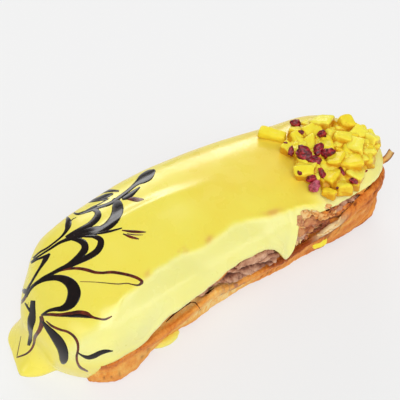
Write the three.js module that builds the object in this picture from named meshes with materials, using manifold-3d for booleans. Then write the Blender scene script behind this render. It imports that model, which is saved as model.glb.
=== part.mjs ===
// An iced eclair: a choux base split along its length, a mousse filling, a choux lid, yellow icing that
// has run down one end onto the table, and a heap of chopped fruit with dried berry bits at the other end.
// Millimetres, +Z up. +X runs along the eclair towards the fruit, and -Y is the side where the filling shows.
// The origin is on the table, under the middle of the whole.

import * as THREE from "three";
import { mergeVertices } from "three/addons/utils/BufferGeometryUtils.js";
import Module from "manifold-3d";

const wasm = await Module();
wasm.setup();

const { clamp, lerp, smoothstep } = THREE.MathUtils;

// Driving dimensions of the iced body
const GAP = 0.3; // clearance between pieces that touch
const TOPPING_GAP = 0.45; // clearance under what lies on the icing
const LEFT_END = -66.8;
const RIGHT_END = 68.3;
const LEFT_ROUND = 16.8; // length over which an end rounds off in plan
const RIGHT_ROUND = 21.3;
const LEFT_ROUND_POWER = 1.78;
const RIGHT_ROUND_POWER = 2.22;
const WIDEST = 0.59; // the widest line's share of the height
const SHOULDER_POWER = 3.14; // squareness of the section above that line
const SHOULDER = 0.86; // share of the height where the side turns into the top
const UNDERCUT_POWER = 1.5;
const FRONT_LINE = curve([[-60, -27], [-36, -25.8], [-12, -22.7], [12, -22.5], [36, -22], [60, -21.5]]);
const BACK_LINE = curve([[-60, 21.4], [-36, 23.6], [-12, 27], [12, 27], [36, 24.3], [60, 20.4]]);
const HEIGHT = curve([
  [-68, 16.4], [-62, 25.4], [-54, 31.4], [-39, 37.6], [0, 37.9], [40, 36.3], [59, 36], [69, 31.3],
]);
const FRONT_UNDERCUT = curve([[-60, 6.7], [-20, 6.9], [0, 8.2], [60, 8.2]]); // how far the foot stands back
const BACK_UNDERCUT = 8;
const SPINE_SHARE = 0.74; // the spine's length over the body's

// The split: the base's rim, and the lid's lower edge above the mousse
const RIM = curve([
  [-70, 15.6], [-18, 15.6], [-9, 16.6], [6, 14.8], [25, 14.4], [32, 15.6], [39, 19.2], [49, 22.6], [58, 25.6],
  [65, 26.5],
]);
const LID_EDGE = curve([[-70, 20.5], [20, 21], [34, 23.4], [49, 25.6], [58, 27], [65, 27.6]]);
const SPILL = { x: 1.5, half: 11, drop: 3.6, rise: 3.4, bulge: 2.4 }; // mousse pressed out at the front
const CRUMB = { x: 24, half: 9, rise: 4.6 }; // torn lid beside the drip
const MOUSSE_RECESS = 2.8; // how far the mousse's face stands back
const LEDGE = 4; // width of the slope from an uneven edge to the level inside

// The base's crust
const RIM_BAND = 0.5; // swell of the browned band under the rim, and of the one at the foot
const FOOT_CURVE = 2.6; // height of the rounding where the crust meets the table
const END_BULGE = 4.1; // how far the base stands out past the icing at the right end
const END_BULGE_START = 62;
const END_FOOT_CURVE = 7;
const FOLD_DEPTH = 0.6; // swirled folds at the right end
const FOLD_PITCH = 6;
const CHIP = { x: 35.2, z: 10, length: 6.3, height: 3.4, thickness: 2 }; // scrap of fruit stuck to the crust

// The icing
const ICING_THICKNESS = 1.8;
const LIP_SHARE = 0.55; // thickness left at the lower lip
const UNDER_ICING = 2.8; // how far the lid and the base's left end stand back behind the icing's outer face
const WALL_END = -58.5; // left of this the icing covers the side down to the table
const WALL_EDGE = -57.5; // between the two the icing's edge drops to the table
const CRUST_START = -56.5; // right of this the crust shows
const DRIP_PLACES = [13.4, 16.2, 18.6, 20.4]; // the front drip's start, tip and end, then the torn edge
const [DRIP_START, DRIP_TIP, DRIP_END, TORN_EDGE] = DRIP_PLACES;
const DRIP_BULGE = 1.7; // how far the drop at the drip's end stands out
const DRIP_HALF = 4;
const DRIP_HEIGHT = 9;
const FRONT_LIP = line([
  [WALL_END, 0], [WALL_EDGE, 15.8], [-40, 16.2], [-37.5, 21], [-31, 25.4], [-24, 26.2], [-2, 26.4], [8, 25.4],
  [DRIP_START, 23], [DRIP_TIP, 17], [DRIP_END, 21], [TORN_EDGE, 30], [28, 30.2], [33, 29.8], [68, 29.4],
]);
const BACK_LIP = line([
  [WALL_END, 0], [WALL_EDGE, 16.6], [-44, 19], [-30, 22], [-22, 17.6], [-14, 22.4], [8, 24], [18, 19],
  [26, 24.4], [40, 27.5], [58, 29.2], [68, 29.4],
]);
const FOOT_SPREAD = 7.4; // how far the run icing spreads on the table
const FOOT_START = 4; // from the left end to where the spread begins to die away
const FOOT_HEIGHT = 10;
const FOOT_SLOPE = 1.3;
const FOOT_LOBES = [{ y: -1, half: 8, share: 0.9 }, { y: 9, half: 8.5, share: 0.95 }];
const PUDDLE = { x: -28.6, length: 10.6, width: 5.2, height: 2.2, stand: 0.7 };

// The fruit
const HEAP = { x: 47, y: -6, length: 32, width: 26, base: 33.5, top: 38.6, seed: 7 };
const DICE_COUNT = 46;
const DICE_SPREAD = 1; // reach of the outermost dice over the core's
const DICE = { long: [5, 8], wide: [3.4, 5], high: [3, 4.4], tilt: 0.9 };
const DICE_LIFT = 0.4; // a dice's middle above the core, and above the bare icing
const STICK = { x: 33.7, y: 11.4, turn: -0.92, length: 9.8, thickness: 3.8, lift: 1.6 };
const BIT_SHAPE = [1, 0.75, 0.7]; // a berry bit's length, width and height over its size
const HEAP_BITS = [
  [42, 9, 2], [41.5, 5, 2], [46, 0, 1.5], [36, -4, 2.6], [40.5, -5, 2], [42, -9, 2], [40.5, -17, 1.5],
]; // x, y, size
const HEAP_BIT_LIFT = 2;
const ICING_BITS = [[30, -8.3, 0.9], [30.5, -15.3, 2], [33.2, 1.6, 1.6]];
const ICING_BIT_LIFT = 0.3; // share of its size
const CURL = { y: -11.4, z: 27.8, width: 4.5, thickness: 0.9 }; // flake of crust at the lid's right end
const CURL_RISE = [[-9, 0.3], [-3, 0], [0.4, 0.4], [2, 2.4]]; // past the right end, and above that height

// Mesh fineness
const STATIONS = 42; // along each side
const STATION_CLEAR = 1.2; // an even station gives way to one at a sharp place
const PLAN_STEPS = 400;
const WALL_STEPS = 12;
const WALL_SHARES = [0, 0.05, 0.12, 0.22, 0.35, 0.5, 0.65, 0.78, 0.9, 1];
const TOP_STEPS = 40;
const SIDE_POINTS = 4;
const TOP_POINTS = 6;
const LID_POINTS = 5;

// A smooth line through [x, value] points, level past its ends
function curve(points) {
  const spline = new THREE.CubicInterpolant(points.map((p) => p[0]), points.map((p) => p[1]), 1);
  return (x) => spline.evaluate(x)[0];
}

// A line with a bend at each [x, value] point, level past its ends
function line(points) {
  const bends = new THREE.LinearInterpolant(points.map((p) => p[0]), points.map((p) => p[1]), 1);
  return (x) => bends.evaluate(x)[0];
}

// A smooth hump of height 1 at the middle of a stretch, 0 outside it
function hump(at, middle, half) {
  return smoothstep(half - Math.abs(at - middle), 0, half);
}

// Share of the full width left at x, as the ends round off
function endRound(x) {
  const left = clamp((LEFT_END + LEFT_ROUND - x) / LEFT_ROUND, 0, 1);
  const right = clamp((x - RIGHT_END + RIGHT_ROUND) / RIGHT_ROUND, 0, 1);
  const leftShare = (1 - left ** LEFT_ROUND_POWER) ** (1 / LEFT_ROUND_POWER);
  return leftShare * (1 - right ** RIGHT_ROUND_POWER) ** (1 / RIGHT_ROUND_POWER);
}

function centreLine(x) {
  return (FRONT_LINE(x) + BACK_LINE(x)) / 2;
}

function halfWidth(x) {
  return ((BACK_LINE(x) - FRONT_LINE(x)) / 2) * endRound(x);
}

// Height of the iced top over a point of the plan
function topSurface(x, y) {
  const across = clamp(Math.abs(y - centreLine(x)) / Math.max(halfWidth(x), 1e-6), 0, 1);
  const dome = (1 - across ** SHOULDER_POWER) ** (1 / SHOULDER_POWER);
  return HEIGHT(x) * (WIDEST + (1 - WIDEST) * dome);
}

// One place on the outline. Its form is the outer profile there, from the table up the side and over to the
// spine, as (inset from the outline, height) points.
function station(x, side) {
  const edge = new THREE.Vector2(x, centreLine(x) + side * halfWidth(x));
  const middle = (LEFT_END + RIGHT_END) / 2;
  const spineX = middle + (x - middle) * SPINE_SHARE;
  const spine = new THREE.Vector2(spineX, centreLine(spineX));
  const reach = edge.distanceTo(spine);
  const widest = WIDEST * HEIGHT(x);
  const undercut = (side < 0 ? FRONT_UNDERCUT(x) : BACK_UNDERCUT) * endRound(x);
  const form = [];
  for (let i = 0; i < WALL_STEPS; i++) {
    const share = i / WALL_STEPS;
    form.push(new THREE.Vector2(undercut * (1 - share) ** UNDERCUT_POWER, widest * share));
  }
  for (let i = 0; i <= TOP_STEPS; i++) {
    const share = (i / TOP_STEPS) ** 2;
    const at = edge.clone().lerp(spine, share);
    form.push(new THREE.Vector2(share * reach, topSurface(at.x, at.y)));
  }
  return { x, side, edge, spine, reach, form, inward: spine.clone().sub(edge).divideScalar(reach) };
}

// Stations at even steps along the outline, with others at sharp places: the front from left to right, then
// the back
function outline() {
  const fine = [];
  for (let i = 0; i <= PLAN_STEPS; i++) {
    const x = lerp(LEFT_END, RIGHT_END, 0.5 - 0.5 * Math.cos((Math.PI * i) / PLAN_STEPS));
    fine.push(new THREE.Vector2(x, halfWidth(x)));
  }
  const sharp = [WALL_END, WALL_EDGE, CRUST_START, ...DRIP_PLACES];
  const even = spread(fine, STATIONS + 1).map((p) => p.x);
  const clear = even.filter((x) => sharp.every((place) => Math.abs(place - x) > STATION_CLEAR));
  const steps = [...clear, ...sharp].sort((a, b) => a - b);
  const front = steps.map((x) => station(x, -1));
  const back = steps.slice(1, -1).reverse().map((x) => station(x, 1));
  return [...front, ...back];
}

// Even steps along a polyline
function spread(points, count) {
  const run = [0];
  for (let i = 1; i < points.length; i++) run.push(run[i - 1] + points[i].distanceTo(points[i - 1]));
  const result = [];
  for (let i = 0, k = 1; i < count; i++) {
    const want = (run.at(-1) * i) / (count - 1);
    while (k < points.length - 1 && run[k] < want) k++;
    const share = clamp((want - run[k - 1]) / (run[k] - run[k - 1] || 1), 0, 1);
    result.push(points[k - 1].clone().lerp(points[k], share));
  }
  return result;
}

// The part of a form above a height
function above(form, z) {
  const first = form.findIndex((p) => p.y >= z);
  if (first < 1) return form;
  const low = form[first - 1];
  const high = form[first];
  const start = low.clone().lerp(high, (z - low.y) / (high.y - low.y));
  return [start, ...form.slice(first)];
}

function insetAt(form, z) {
  return above(form, z)[0].x;
}

// A path moved into the body by a depth at each point, straight down at the spine
function inside(path, depth) {
  const level = new THREE.Vector2(1, 0);
  return path.map((point, i) => {
    const ahead = path[i + 1];
    const along = ahead ? ahead.clone().sub(path[Math.max(i - 1, 0)]).normalize() : level;
    return new THREE.Vector2(point.x + along.y * depth(i), point.y - along.x * depth(i));
  });
}

// A closed solid from one profile at each station. Profiles start and end on the spine, lower end first.
// Each four-sided patch is split the same way on the two faces of a joint, so that the joint keeps its gap.
function loft(stations, profileAt) {
  const position = [];
  const index = [];
  const profiles = stations.map(profileAt);
  const count = profiles[0].length;
  stations.forEach((at, i) => {
    profiles[i].forEach((p, j) => {
      const onSpine = j === 0 || j === count - 1;
      const foot = onSpine ? at.spine : at.edge.clone().addScaledVector(at.inward, p.x);
      position.push(foot.x, foot.y, p.y);
    });
  });
  for (let i = 0; i < stations.length; i++) {
    const here = i * count;
    const next = ((i + 1) % stations.length) * count;
    for (let j = 0; j < count - 1; j++) {
      const [a, b, c, d] = [here + j, next + j, next + j + 1, here + j + 1];
      const inward = profiles[i][j + 1].x > profiles[i][j].x;
      index.push(...(inward ? [a, b, c, a, c, d] : [a, b, d, b, c, d]));
    }
  }
  const geometry = new THREE.BufferGeometry();
  geometry.setAttribute("position", new THREE.Float32BufferAttribute(position, 3));
  geometry.setIndex(index);
  return solid(geometry);
}

// A geometry as a solid that can be joined and cut
function solid(geometry) {
  const bare = geometry.clone();
  bare.deleteAttribute("normal");
  bare.deleteAttribute("uv");
  const welded = mergeVertices(bare, 1e-4);
  const vertProperties = new Float32Array(welded.attributes.position.array);
  const triVerts = new Uint32Array(welded.index.array);
  return new wasm.Manifold(new wasm.Mesh({ numProp: 3, vertProperties, triVerts }));
}

// The largest shell of a solid: it fills pockets that joining has sealed, and drops loose scraps
function largest(body) {
  return body.decompose().reduce((most, shell) => (shell.volume() > most.volume() ? shell : most));
}

function geometryOf(body) {
  const mesh = body.getMesh();
  const geometry = new THREE.BufferGeometry();
  geometry.setAttribute("position", new THREE.BufferAttribute(mesh.vertProperties, 3));
  geometry.setIndex(new THREE.BufferAttribute(mesh.triVerts, 1));
  geometry.computeVertexNormals();
  return geometry;
}

// Height of the base's rim at its edge, lower where the mousse has spilled over it
function rimAt(at) {
  const spill = at.side < 0 ? hump(at.x, SPILL.x, SPILL.half) : 0;
  return RIM(at.x) - SPILL.drop * spill;
}

// Height of the lid's lower edge, lifted over the spilled mousse and at the torn crumb
function lidAt(at) {
  if (at.side > 0) return LID_EDGE(at.x);
  const lift = SPILL.rise * hump(at.x, SPILL.x, SPILL.half) + CRUMB.rise * hump(at.x, CRUMB.x, CRUMB.half);
  return LID_EDGE(at.x) + lift;
}

function lipAt(at) {
  return at.side < 0 ? FRONT_LIP(at.x) : BACK_LIP(at.x);
}

// The face of a layer, from where the mousse begins at an edge of this height in to the spine
function layerFace(at, edgeHeight, level, lift) {
  const start = insetAt(at.form, edgeHeight) + MOUSSE_RECESS;
  return [
    new THREE.Vector2(start, edgeHeight + lift),
    new THREE.Vector2(start + LEDGE, level(at.x) + lift),
    new THREE.Vector2(at.reach, level(at.spine.x) + lift),
  ];
}

// The base: crust with a browned band under its rim and at its foot, a paler waist between them, and folds
// swirled round its right end. grow thickens it all round.
function baseProfile(at, grow = 0) {
  const rim = rimAt(at);
  const bare = smoothstep(at.x, WALL_EDGE, CRUST_START);
  const underIcing = UNDER_ICING * (1 - bare);
  const end = smoothstep(at.x, END_BULGE_START, RIGHT_END);
  const footCurve = lerp(FOOT_CURVE, END_FOOT_CURVE, end);
  const wall = WALL_SHARES.map((share) => {
    const z = rim * share;
    const round = footCurve * (1 - Math.min(z / footCurve, 1)) ** 2;
    const band = RIM_BAND * bare * Math.cos(2 * Math.PI * share) * smoothstep(share, 0, 0.08);
    const bulge = END_BULGE * end * (0.3 + 0.7 * Math.sin(Math.PI * (0.1 + 0.9 * share)));
    const fold = FOLD_DEPTH * end * Math.sin((2 * Math.PI * (z + at.edge.y)) / FOLD_PITCH);
    const inset = insetAt(at.form, z) + underIcing + round - band - bulge - fold - grow;
    return new THREE.Vector2(inset, z);
  });
  wall[0].y -= grow;
  wall.at(-1).y += grow;
  const floor = new THREE.Vector2(lerp(wall[0].x, at.reach, 0.4), -grow);
  const seamFloor = new THREE.Vector2(at.reach, -grow);
  return [seamFloor, floor, ...wall, ...layerFace(at, rim, RIM, grow)];
}

// The mousse: a layer between base and lid, set back from the edge, pressed out where it spilled
function mousseProfile(at) {
  const low = rimAt(at) + GAP;
  const high = lidAt(at) - GAP;
  const spill = at.side < 0 ? SPILL.bulge * hump(at.x, SPILL.x, SPILL.half) : 0;
  const face = [0.25, 0.5, 0.75].map((share) => {
    const z = lerp(low, high, share);
    const inset = insetAt(at.form, z) + MOUSSE_RECESS;
    return new THREE.Vector2(inset - spill * Math.sin(Math.PI * share), z);
  });
  const underside = layerFace(at, low - GAP, RIM, GAP).reverse();
  return [...underside, ...face, ...layerFace(at, high + GAP, LID_EDGE, -GAP)];
}

// The lid: everything between mousse and icing, following the icing's inner face
function lidProfile(at) {
  const low = lidAt(at);
  const path = spread(above(at.form, low), LID_POINTS);
  const face = inside(path, () => UNDER_ICING);
  face[0].y = low;
  return [...layerFace(at, low, LID_EDGE, 0).reverse(), ...face];
}

// The icing: a skin over the lid, thinner at its lip, spread out at the foot of the left end. grow thickens
// it inwards.
function icingProfile(at, grow = 0) {
  const lip = lipAt(at);
  const top = above(at.form, Math.max(SHOULDER * HEIGHT(at.x), lip + 1));
  const side = above(at.form, lip).filter((p) => p.y < top[0].y);
  const path = [...spread([...side, top[0]], SIDE_POINTS).slice(0, -1), ...spread(top, TOP_POINTS)];
  const inner = inside(path, (i) => ICING_THICKNESS * (i === 0 ? LIP_SHARE : 1) + grow);
  if (lip === 0) inner[0].set(path[0].x + ICING_THICKNESS + grow, 0);
  const atFoot = 1 - smoothstep(at.x, LEFT_END + FOOT_START, WALL_END);
  const still = FOOT_LOBES.reduce((rest, lobe) => {
    const across = clamp((at.edge.y - lobe.y) / lobe.half, -1, 1);
    return rest * (1 - lobe.share * (1 - across ** 4));
  }, 1);
  const run = FOOT_SPREAD * atFoot * (1 - still);
  const drop = at.side < 0 ? DRIP_BULGE * hump(at.x, DRIP_TIP, DRIP_HALF) : 0;
  const outer = path.map((p) => {
    const atTable = (1 - Math.min(p.y / FOOT_HEIGHT, 1)) ** FOOT_SLOPE;
    const atLip = 1 - smoothstep(p.y, lip, lip + DRIP_HEIGHT);
    return new THREE.Vector2(p.x - run * atTable - drop * atLip, p.y);
  });
  return [...inner.reverse(), ...outer];
}

// The outer form alone, a little grown: it clears room for what lies on the icing
function grownProfile(at) {
  const path = spread(at.form, SIDE_POINTS + TOP_POINTS);
  const face = inside(path, () => -TOPPING_GAP);
  return [new THREE.Vector2(at.reach, 0), ...face];
}

// Even pseudo-random numbers from 0 to 1
function randomNumbers(seed) {
  let state = seed;
  return () => {
    state = (state * 1664525 + 1013904223) % 4294967296;
    return state / 4294967296;
  };
}

// One dice of fruit, cut a little askew
function dice(random) {
  const size = [DICE.long, DICE.wide, DICE.high].map(([least, most]) => lerp(least, most, random()));
  const geometry = new THREE.BoxGeometry(...size);
  geometry.rotateY((random() - 0.5) * DICE.tilt);
  geometry.rotateX((random() - 0.5) * DICE.tilt);
  geometry.rotateZ(random() * Math.PI);
  return geometry;
}

// A dried berry bit: a small lump pressed into what it lies on
function berryBit([x, y, size], z, grow = 0) {
  const geometry = new THREE.IcosahedronGeometry(size + grow, 0);
  geometry.scale(...BIT_SHAPE);
  geometry.translate(x, y, z);
  return solid(geometry);
}

// Height of the heap's core over a point of the plan
function heapSurface(x, y) {
  const out = Math.hypot((x - HEAP.x) / (HEAP.length / 2), (y - HEAP.y) / (HEAP.width / 2));
  return lerp(HEAP.base, HEAP.top, Math.sqrt(Math.max(1 - out * out, 0)));
}

function fruitHeap(room) {
  const random = randomNumbers(HEAP.seed);
  const core = new THREE.SphereGeometry(1, 16, 10);
  core.rotateX(Math.PI / 2);
  core.scale(HEAP.length / 2, HEAP.width / 2, HEAP.top - HEAP.base);
  core.translate(HEAP.x, HEAP.y, HEAP.base);
  let heap = solid(core);
  const goldenAngle = Math.PI * (3 - Math.sqrt(5));
  for (let i = 0; i < DICE_COUNT; i++) {
    const out = DICE_SPREAD * Math.sqrt((i + 0.5) / DICE_COUNT);
    const x = HEAP.x + out * (HEAP.length / 2) * Math.cos(i * goldenAngle);
    const y = HEAP.y + out * (HEAP.width / 2) * Math.sin(i * goldenAngle);
    const piece = dice(random);
    piece.translate(x, y, Math.max(heapSurface(x, y), topSurface(x, y)) + DICE_LIFT);
    heap = heap.add(solid(piece));
  }
  for (const bit of HEAP_BITS) {
    heap = heap.add(berryBit(bit, heapSurface(bit[0], bit[1]) + HEAP_BIT_LIFT));
  }
  return largest(heap.subtract(room));
}

// The stick of fruit that lies apart from the heap
function fruitStick(grow = 0) {
  const thickness = STICK.thickness + 2 * grow;
  const stick = new THREE.BoxGeometry(STICK.length + 2 * grow, thickness, thickness, 3, 1, 1);
  stick.rotateZ(STICK.turn);
  stick.translate(STICK.x, STICK.y, topSurface(STICK.x, STICK.y) + STICK.lift);
  return solid(stick);
}

// The curled flake: a strip that leaves the lid under the icing's lip and turns up
function crustCurl() {
  const path = new THREE.CatmullRomCurve3(
    CURL_RISE.map(([out, rise]) => new THREE.Vector3(RIGHT_END + out, CURL.y, CURL.z + rise)),
  );
  const across = new THREE.Shape();
  across.moveTo(-CURL.width / 2, -CURL.thickness / 2);
  across.lineTo(CURL.width / 2, -CURL.thickness / 2);
  across.lineTo(CURL.width / 2, CURL.thickness / 2);
  across.lineTo(-CURL.width / 2, CURL.thickness / 2);
  return solid(new THREE.ExtrudeGeometry(across, { steps: 8, extrudePath: path }));
}

// Icing that dripped onto the table at the base's front
function icingPuddle(room) {
  const quarter = new THREE.EllipseCurve(0, 0, 1, 1, 0, Math.PI / 2).getPoints(6);
  quarter.at(-1).set(0, 1);
  const dome = new THREE.LatheGeometry([new THREE.Vector2(0, 0), ...quarter], 20);
  dome.rotateX(Math.PI / 2);
  dome.scale(PUDDLE.length / 2, PUDDLE.width / 2, PUDDLE.height);
  const at = station(PUDDLE.x, -1);
  dome.translate(PUDDLE.x, at.edge.y + insetAt(at.form, 0) - PUDDLE.stand, 0);
  return solid(dome).subtract(room);
}

function fruitChip() {
  const at = station(CHIP.x, -1);
  const chip = new THREE.BoxGeometry(CHIP.length, CHIP.thickness, CHIP.height);
  chip.translate(CHIP.x, at.edge.y + insetAt(at.form, CHIP.z), CHIP.z);
  return solid(chip);
}

function finish(color, roughness) {
  return new THREE.MeshStandardMaterial({ color, roughness, metalness: 0 });
}

// Putting it together
const stations = outline();
const base = loft(stations, (at) => baseProfile(at)).add(fruitChip());
const mousse = loft(stations, mousseProfile);
const lid = loft(stations, lidProfile).subtract(loft(stations, (at) => icingProfile(at, GAP)));
let icing = loft(stations, (at) => icingProfile(at));
let iced = loft(stations, grownProfile);
for (const bit of ICING_BITS) {
  const height = topSurface(bit[0], bit[1]) + bit[2] * ICING_BIT_LIFT;
  icing = icing.add(berryBit(bit, height));
  iced = iced.add(berryBit(bit, height, TOPPING_GAP));
}
const crust = loft(stations, (at) => baseProfile(at, GAP));

const eclair = new THREE.Group();
eclair.name = "eclair";

function place(name, body, material) {
  const mesh = new THREE.Mesh(geometryOf(body), material);
  mesh.name = name;
  eclair.add(mesh);
}

place("choux_base", base, finish(0xde8a3e, 0.7));
place("mousse", mousse, finish(0xb98a74, 0.9));
place("choux_lid", lid.add(crustCurl()), finish(0xe0964e, 0.75));
place("icing", icing, finish(0xf2e05a, 0.2));
place("icing_puddle", icingPuddle(crust), finish(0xf4ea60, 0.2));
place("fruit_heap", fruitHeap(iced.add(fruitStick(GAP))), finish(0xf2e236, 0.35));
place("fruit_stick", fruitStick().subtract(iced), finish(0xf5e22f, 0.35));

export default eclair;
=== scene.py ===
import itertools
import math
from types import SimpleNamespace

import bmesh
import bpy
import numpy as np
from mathutils import Matrix, Vector
from mathutils.bvhtree import BVHTree


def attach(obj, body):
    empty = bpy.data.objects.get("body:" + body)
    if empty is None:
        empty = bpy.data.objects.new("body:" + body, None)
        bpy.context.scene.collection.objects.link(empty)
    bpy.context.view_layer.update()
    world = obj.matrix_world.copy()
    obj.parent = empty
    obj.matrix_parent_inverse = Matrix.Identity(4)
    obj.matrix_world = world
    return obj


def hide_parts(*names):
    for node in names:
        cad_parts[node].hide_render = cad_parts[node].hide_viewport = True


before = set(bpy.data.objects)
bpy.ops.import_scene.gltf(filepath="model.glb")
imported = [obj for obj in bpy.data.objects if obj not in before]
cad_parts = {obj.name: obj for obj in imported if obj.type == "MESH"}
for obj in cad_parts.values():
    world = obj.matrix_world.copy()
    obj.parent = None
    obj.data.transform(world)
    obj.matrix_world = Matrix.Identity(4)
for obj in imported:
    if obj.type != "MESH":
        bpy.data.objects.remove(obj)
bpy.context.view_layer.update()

# The choux base is the lower half of a piped shell of choux paste, split along its length after baking.
# The oven browned a band under the rim and one at the foot, and left a paler, finely cracked waist between.
# The right end keeps the folds where the piping stopped. Sizes are in millimetres, as in the solids.
MM = 0.001
LEFT_END, RIGHT_END = -66.8, 68.3
LEFT_ROUND, RIGHT_ROUND = 16.8, 21.3
LEFT_ROUND_POWER, RIGHT_ROUND_POWER = 1.78, 2.22
WIDEST = 0.59
SHOULDER_POWER = 3.14
UNDERCUT_POWER = 1.5
SPINE_SHARE = 0.74


def smooth_line(points):
    """A smooth line through (x, value) points, level past its ends."""
    x, value = np.array(points, float).T
    slope = np.diff(value) / np.diff(x)
    lean = np.concatenate([slope[:1], (slope[1:] + slope[:-1]) / 2, slope[-1:]])

    def at(place):
        place = np.clip(place, x[0], x[-1])
        k = np.clip(np.searchsorted(x, place, side="right") - 1, 0, len(x) - 2)
        step = x[k + 1] - x[k]
        t = (place - x[k]) / step
        rise = value[k] + (value[k + 1] - value[k]) * (3 * t**2 - 2 * t**3)
        return rise + step * (lean[k] * t * (1 - t) ** 2 + lean[k + 1] * t**2 * (t - 1))

    return at


FRONT_LINE = smooth_line([(-60, -27), (-36, -25.8), (-12, -22.7), (12, -22.5), (36, -22), (60, -21.5)])
BACK_LINE = smooth_line([(-60, 19.8), (-36, 23.4), (-12, 27), (12, 27), (36, 24.3), (60, 20.4)])
HEIGHT = smooth_line(
    [
        (-68, 17), (-62, 26.4), (-54, 32.8), (-46, 36.2), (-39, 37.8),
        (0, 37.9), (40, 36.3), (59, 36), (69, 31.3),
    ]
)
FRONT_UNDERCUT = smooth_line([(-60, 6.7), (-20, 6.9), (0, 8.2), (60, 8.2)])
BACK_UNDERCUT = 8


def ease(value, low, high):
    """0 below low, 1 above high and smooth between them."""
    t = np.clip((value - low) / (high - low), 0, 1)
    return t * t * (3 - 2 * t)


def hump(value, middle, half):
    """A smooth hump of height 1 at the middle of a stretch, 0 outside it."""
    return ease(half - np.abs(value - middle), 0, half)


def between(value, start, full, full_end, end):
    """1 from full to full_end, falling smoothly to 0 at start and at end."""
    return ease(value, start, full) * (1 - ease(value, full_end, end))


def end_round(x):
    """Share of the full width at x: 1 along the body, falling to 0 round both ends."""
    left = np.clip((LEFT_END + LEFT_ROUND - x) / LEFT_ROUND, 0, 1)
    right = np.clip((x - RIGHT_END + RIGHT_ROUND) / RIGHT_ROUND, 0, 1)
    left_share = (1 - left**LEFT_ROUND_POWER) ** (1 / LEFT_ROUND_POWER)
    return left_share * (1 - right**RIGHT_ROUND_POWER) ** (1 / RIGHT_ROUND_POWER)


def centre_line(x):
    """Middle of the plan at x."""
    return (FRONT_LINE(x) + BACK_LINE(x)) / 2


def half_width(x):
    """Half the width of the plan at x."""
    return (BACK_LINE(x) - FRONT_LINE(x)) / 2 * end_round(x)


def top_surface(x, y):
    """Height of the iced top over a point of the plan."""
    across = np.clip(np.abs(y - centre_line(x)) / np.maximum(half_width(x), 1e-6), 0, 1)
    dome = (1 - across**SHOULDER_POWER) ** (1 / SHOULDER_POWER)
    return HEIGHT(x) * (WIDEST + (1 - WIDEST) * dome)


CROWDING, CROWD_WIDTH = 4, 1.6


def outline(count, fine_places=()):
    """Places round the body: the front from left to right, then the back. They crowd at the fine places.
    Each has the body's outer form there, as insets from the outline and heights."""
    x = LEFT_END + (RIGHT_END - LEFT_END) * (0.5 - 0.5 * np.cos(np.linspace(0, np.pi, 6000)))
    step = np.hypot(np.diff(x), np.diff(half_width(x)))
    crowd = 1 + sum(CROWDING * np.exp(-(((x[1:] - place) / CROWD_WIDTH) ** 2)) for place in fine_places)
    run = np.concatenate([[0], np.cumsum(step * crowd)])
    steps = np.interp(np.linspace(0, run[-1], count), run, x)
    at = SimpleNamespace(count=count)
    at.x = np.concatenate([steps, steps[-2:0:-1]])
    at.front = np.concatenate([np.ones(count), np.zeros(count - 2)])
    side = 1 - 2 * at.front
    at.edge = np.stack([at.x, centre_line(at.x) + side * half_width(at.x)], -1)
    middle = (LEFT_END + RIGHT_END) / 2
    spine_x = middle + (at.x - middle) * SPINE_SHARE
    at.spine = np.stack([spine_x, centre_line(spine_x)], -1)
    toward = at.spine - at.edge
    at.reach = np.linalg.norm(toward, axis=-1)
    at.inward = toward / at.reach[:, None]
    gap = np.linalg.norm(np.roll(at.edge, -1, 0) - at.edge, axis=-1)
    at.run = np.concatenate([[0], np.cumsum(gap)[:-1]])
    undercut = np.where(at.front > 0, FRONT_UNDERCUT(at.x), BACK_UNDERCUT) * end_round(at.x)
    low = np.linspace(0, 1, 60, endpoint=False)
    high = np.linspace(0, 1, 200) ** 2
    over = at.edge[:, None] + toward[:, None] * high[:, None]
    wall = undercut[:, None] * (1 - low) ** UNDERCUT_POWER
    widest = WIDEST * HEIGHT(at.x)
    at.form_r = np.concatenate([wall, at.reach[:, None] * high], 1)
    tops = top_surface(over[..., 0], over[..., 1])
    at.form_z = np.concatenate([widest[:, None] * low, np.maximum.accumulate(tops, 1)], 1)
    return at


def inset_at(at, z):
    """Inset of the body's outer form at a row of heights for each place."""
    return np.stack([np.interp(z[i], at.form_z[i], at.form_r[i]) for i in range(len(z))])


HASH_STEPS = np.array([374761393, 668265263, 1274126177])
HASH_SEED, HASH_MIX, WORD = 974634541, 1103515245, 0xFFFFFFFF


def noise(points, size, seed):
    """Smooth relief from -1 to 1 with lumps of this size. A fixed sum gives the value at each corner of a
    cell, so it is the same on every run."""
    place = np.asarray(points, float) / size + 11.7 * seed
    cell = np.floor(place).astype(np.int64)
    part = place - cell
    part = part * part * (3 - 2 * part)
    total = np.zeros(part.shape[:-1])
    for corner in itertools.product((0, 1), repeat=3):
        key = ((cell + corner) @ HASH_STEPS + seed * HASH_SEED) & WORD
        key = (key ^ (key >> 13)) * HASH_MIX & WORD
        value = ((key ^ (key >> 16)) & 0xFFFF) / 32767.5 - 1
        total += value * np.prod(np.where(corner, part, 1 - part), axis=-1)
    return total


def lumps(points, size, seed, layers=3):
    """Relief of lumps with smaller lumps on them."""
    return sum(noise(points, size / 2**k, seed + k) / 2**k for k in range(layers))


def crumbs(points, size, seed, layers=3):
    """Relief of rounded crumbs with sharp creases between them, from 0 in the creases."""
    return sum(np.abs(noise(points, size / 2**k, seed + k)) / 1.6**k for k in range(layers))


def stand(at, rows):
    """Points in space from (inset, height) rows. The first and last of a row lie on the spine."""
    plan = at.edge[:, None] + at.inward[:, None] * rows[..., :1]
    plan[:, 0] = at.spine
    plan[:, -1] = at.spine
    return np.concatenate([plan, rows[..., 1:]], -1)


def normals_of(points):
    """Directions straight out of a surface of rows round the body."""
    along = np.roll(points, -1, 0) - np.roll(points, 1, 0)
    normal = np.cross(along, np.gradient(points, axis=1))
    return normal / np.maximum(np.linalg.norm(normal, axis=-1, keepdims=True), 1e-9)


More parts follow.
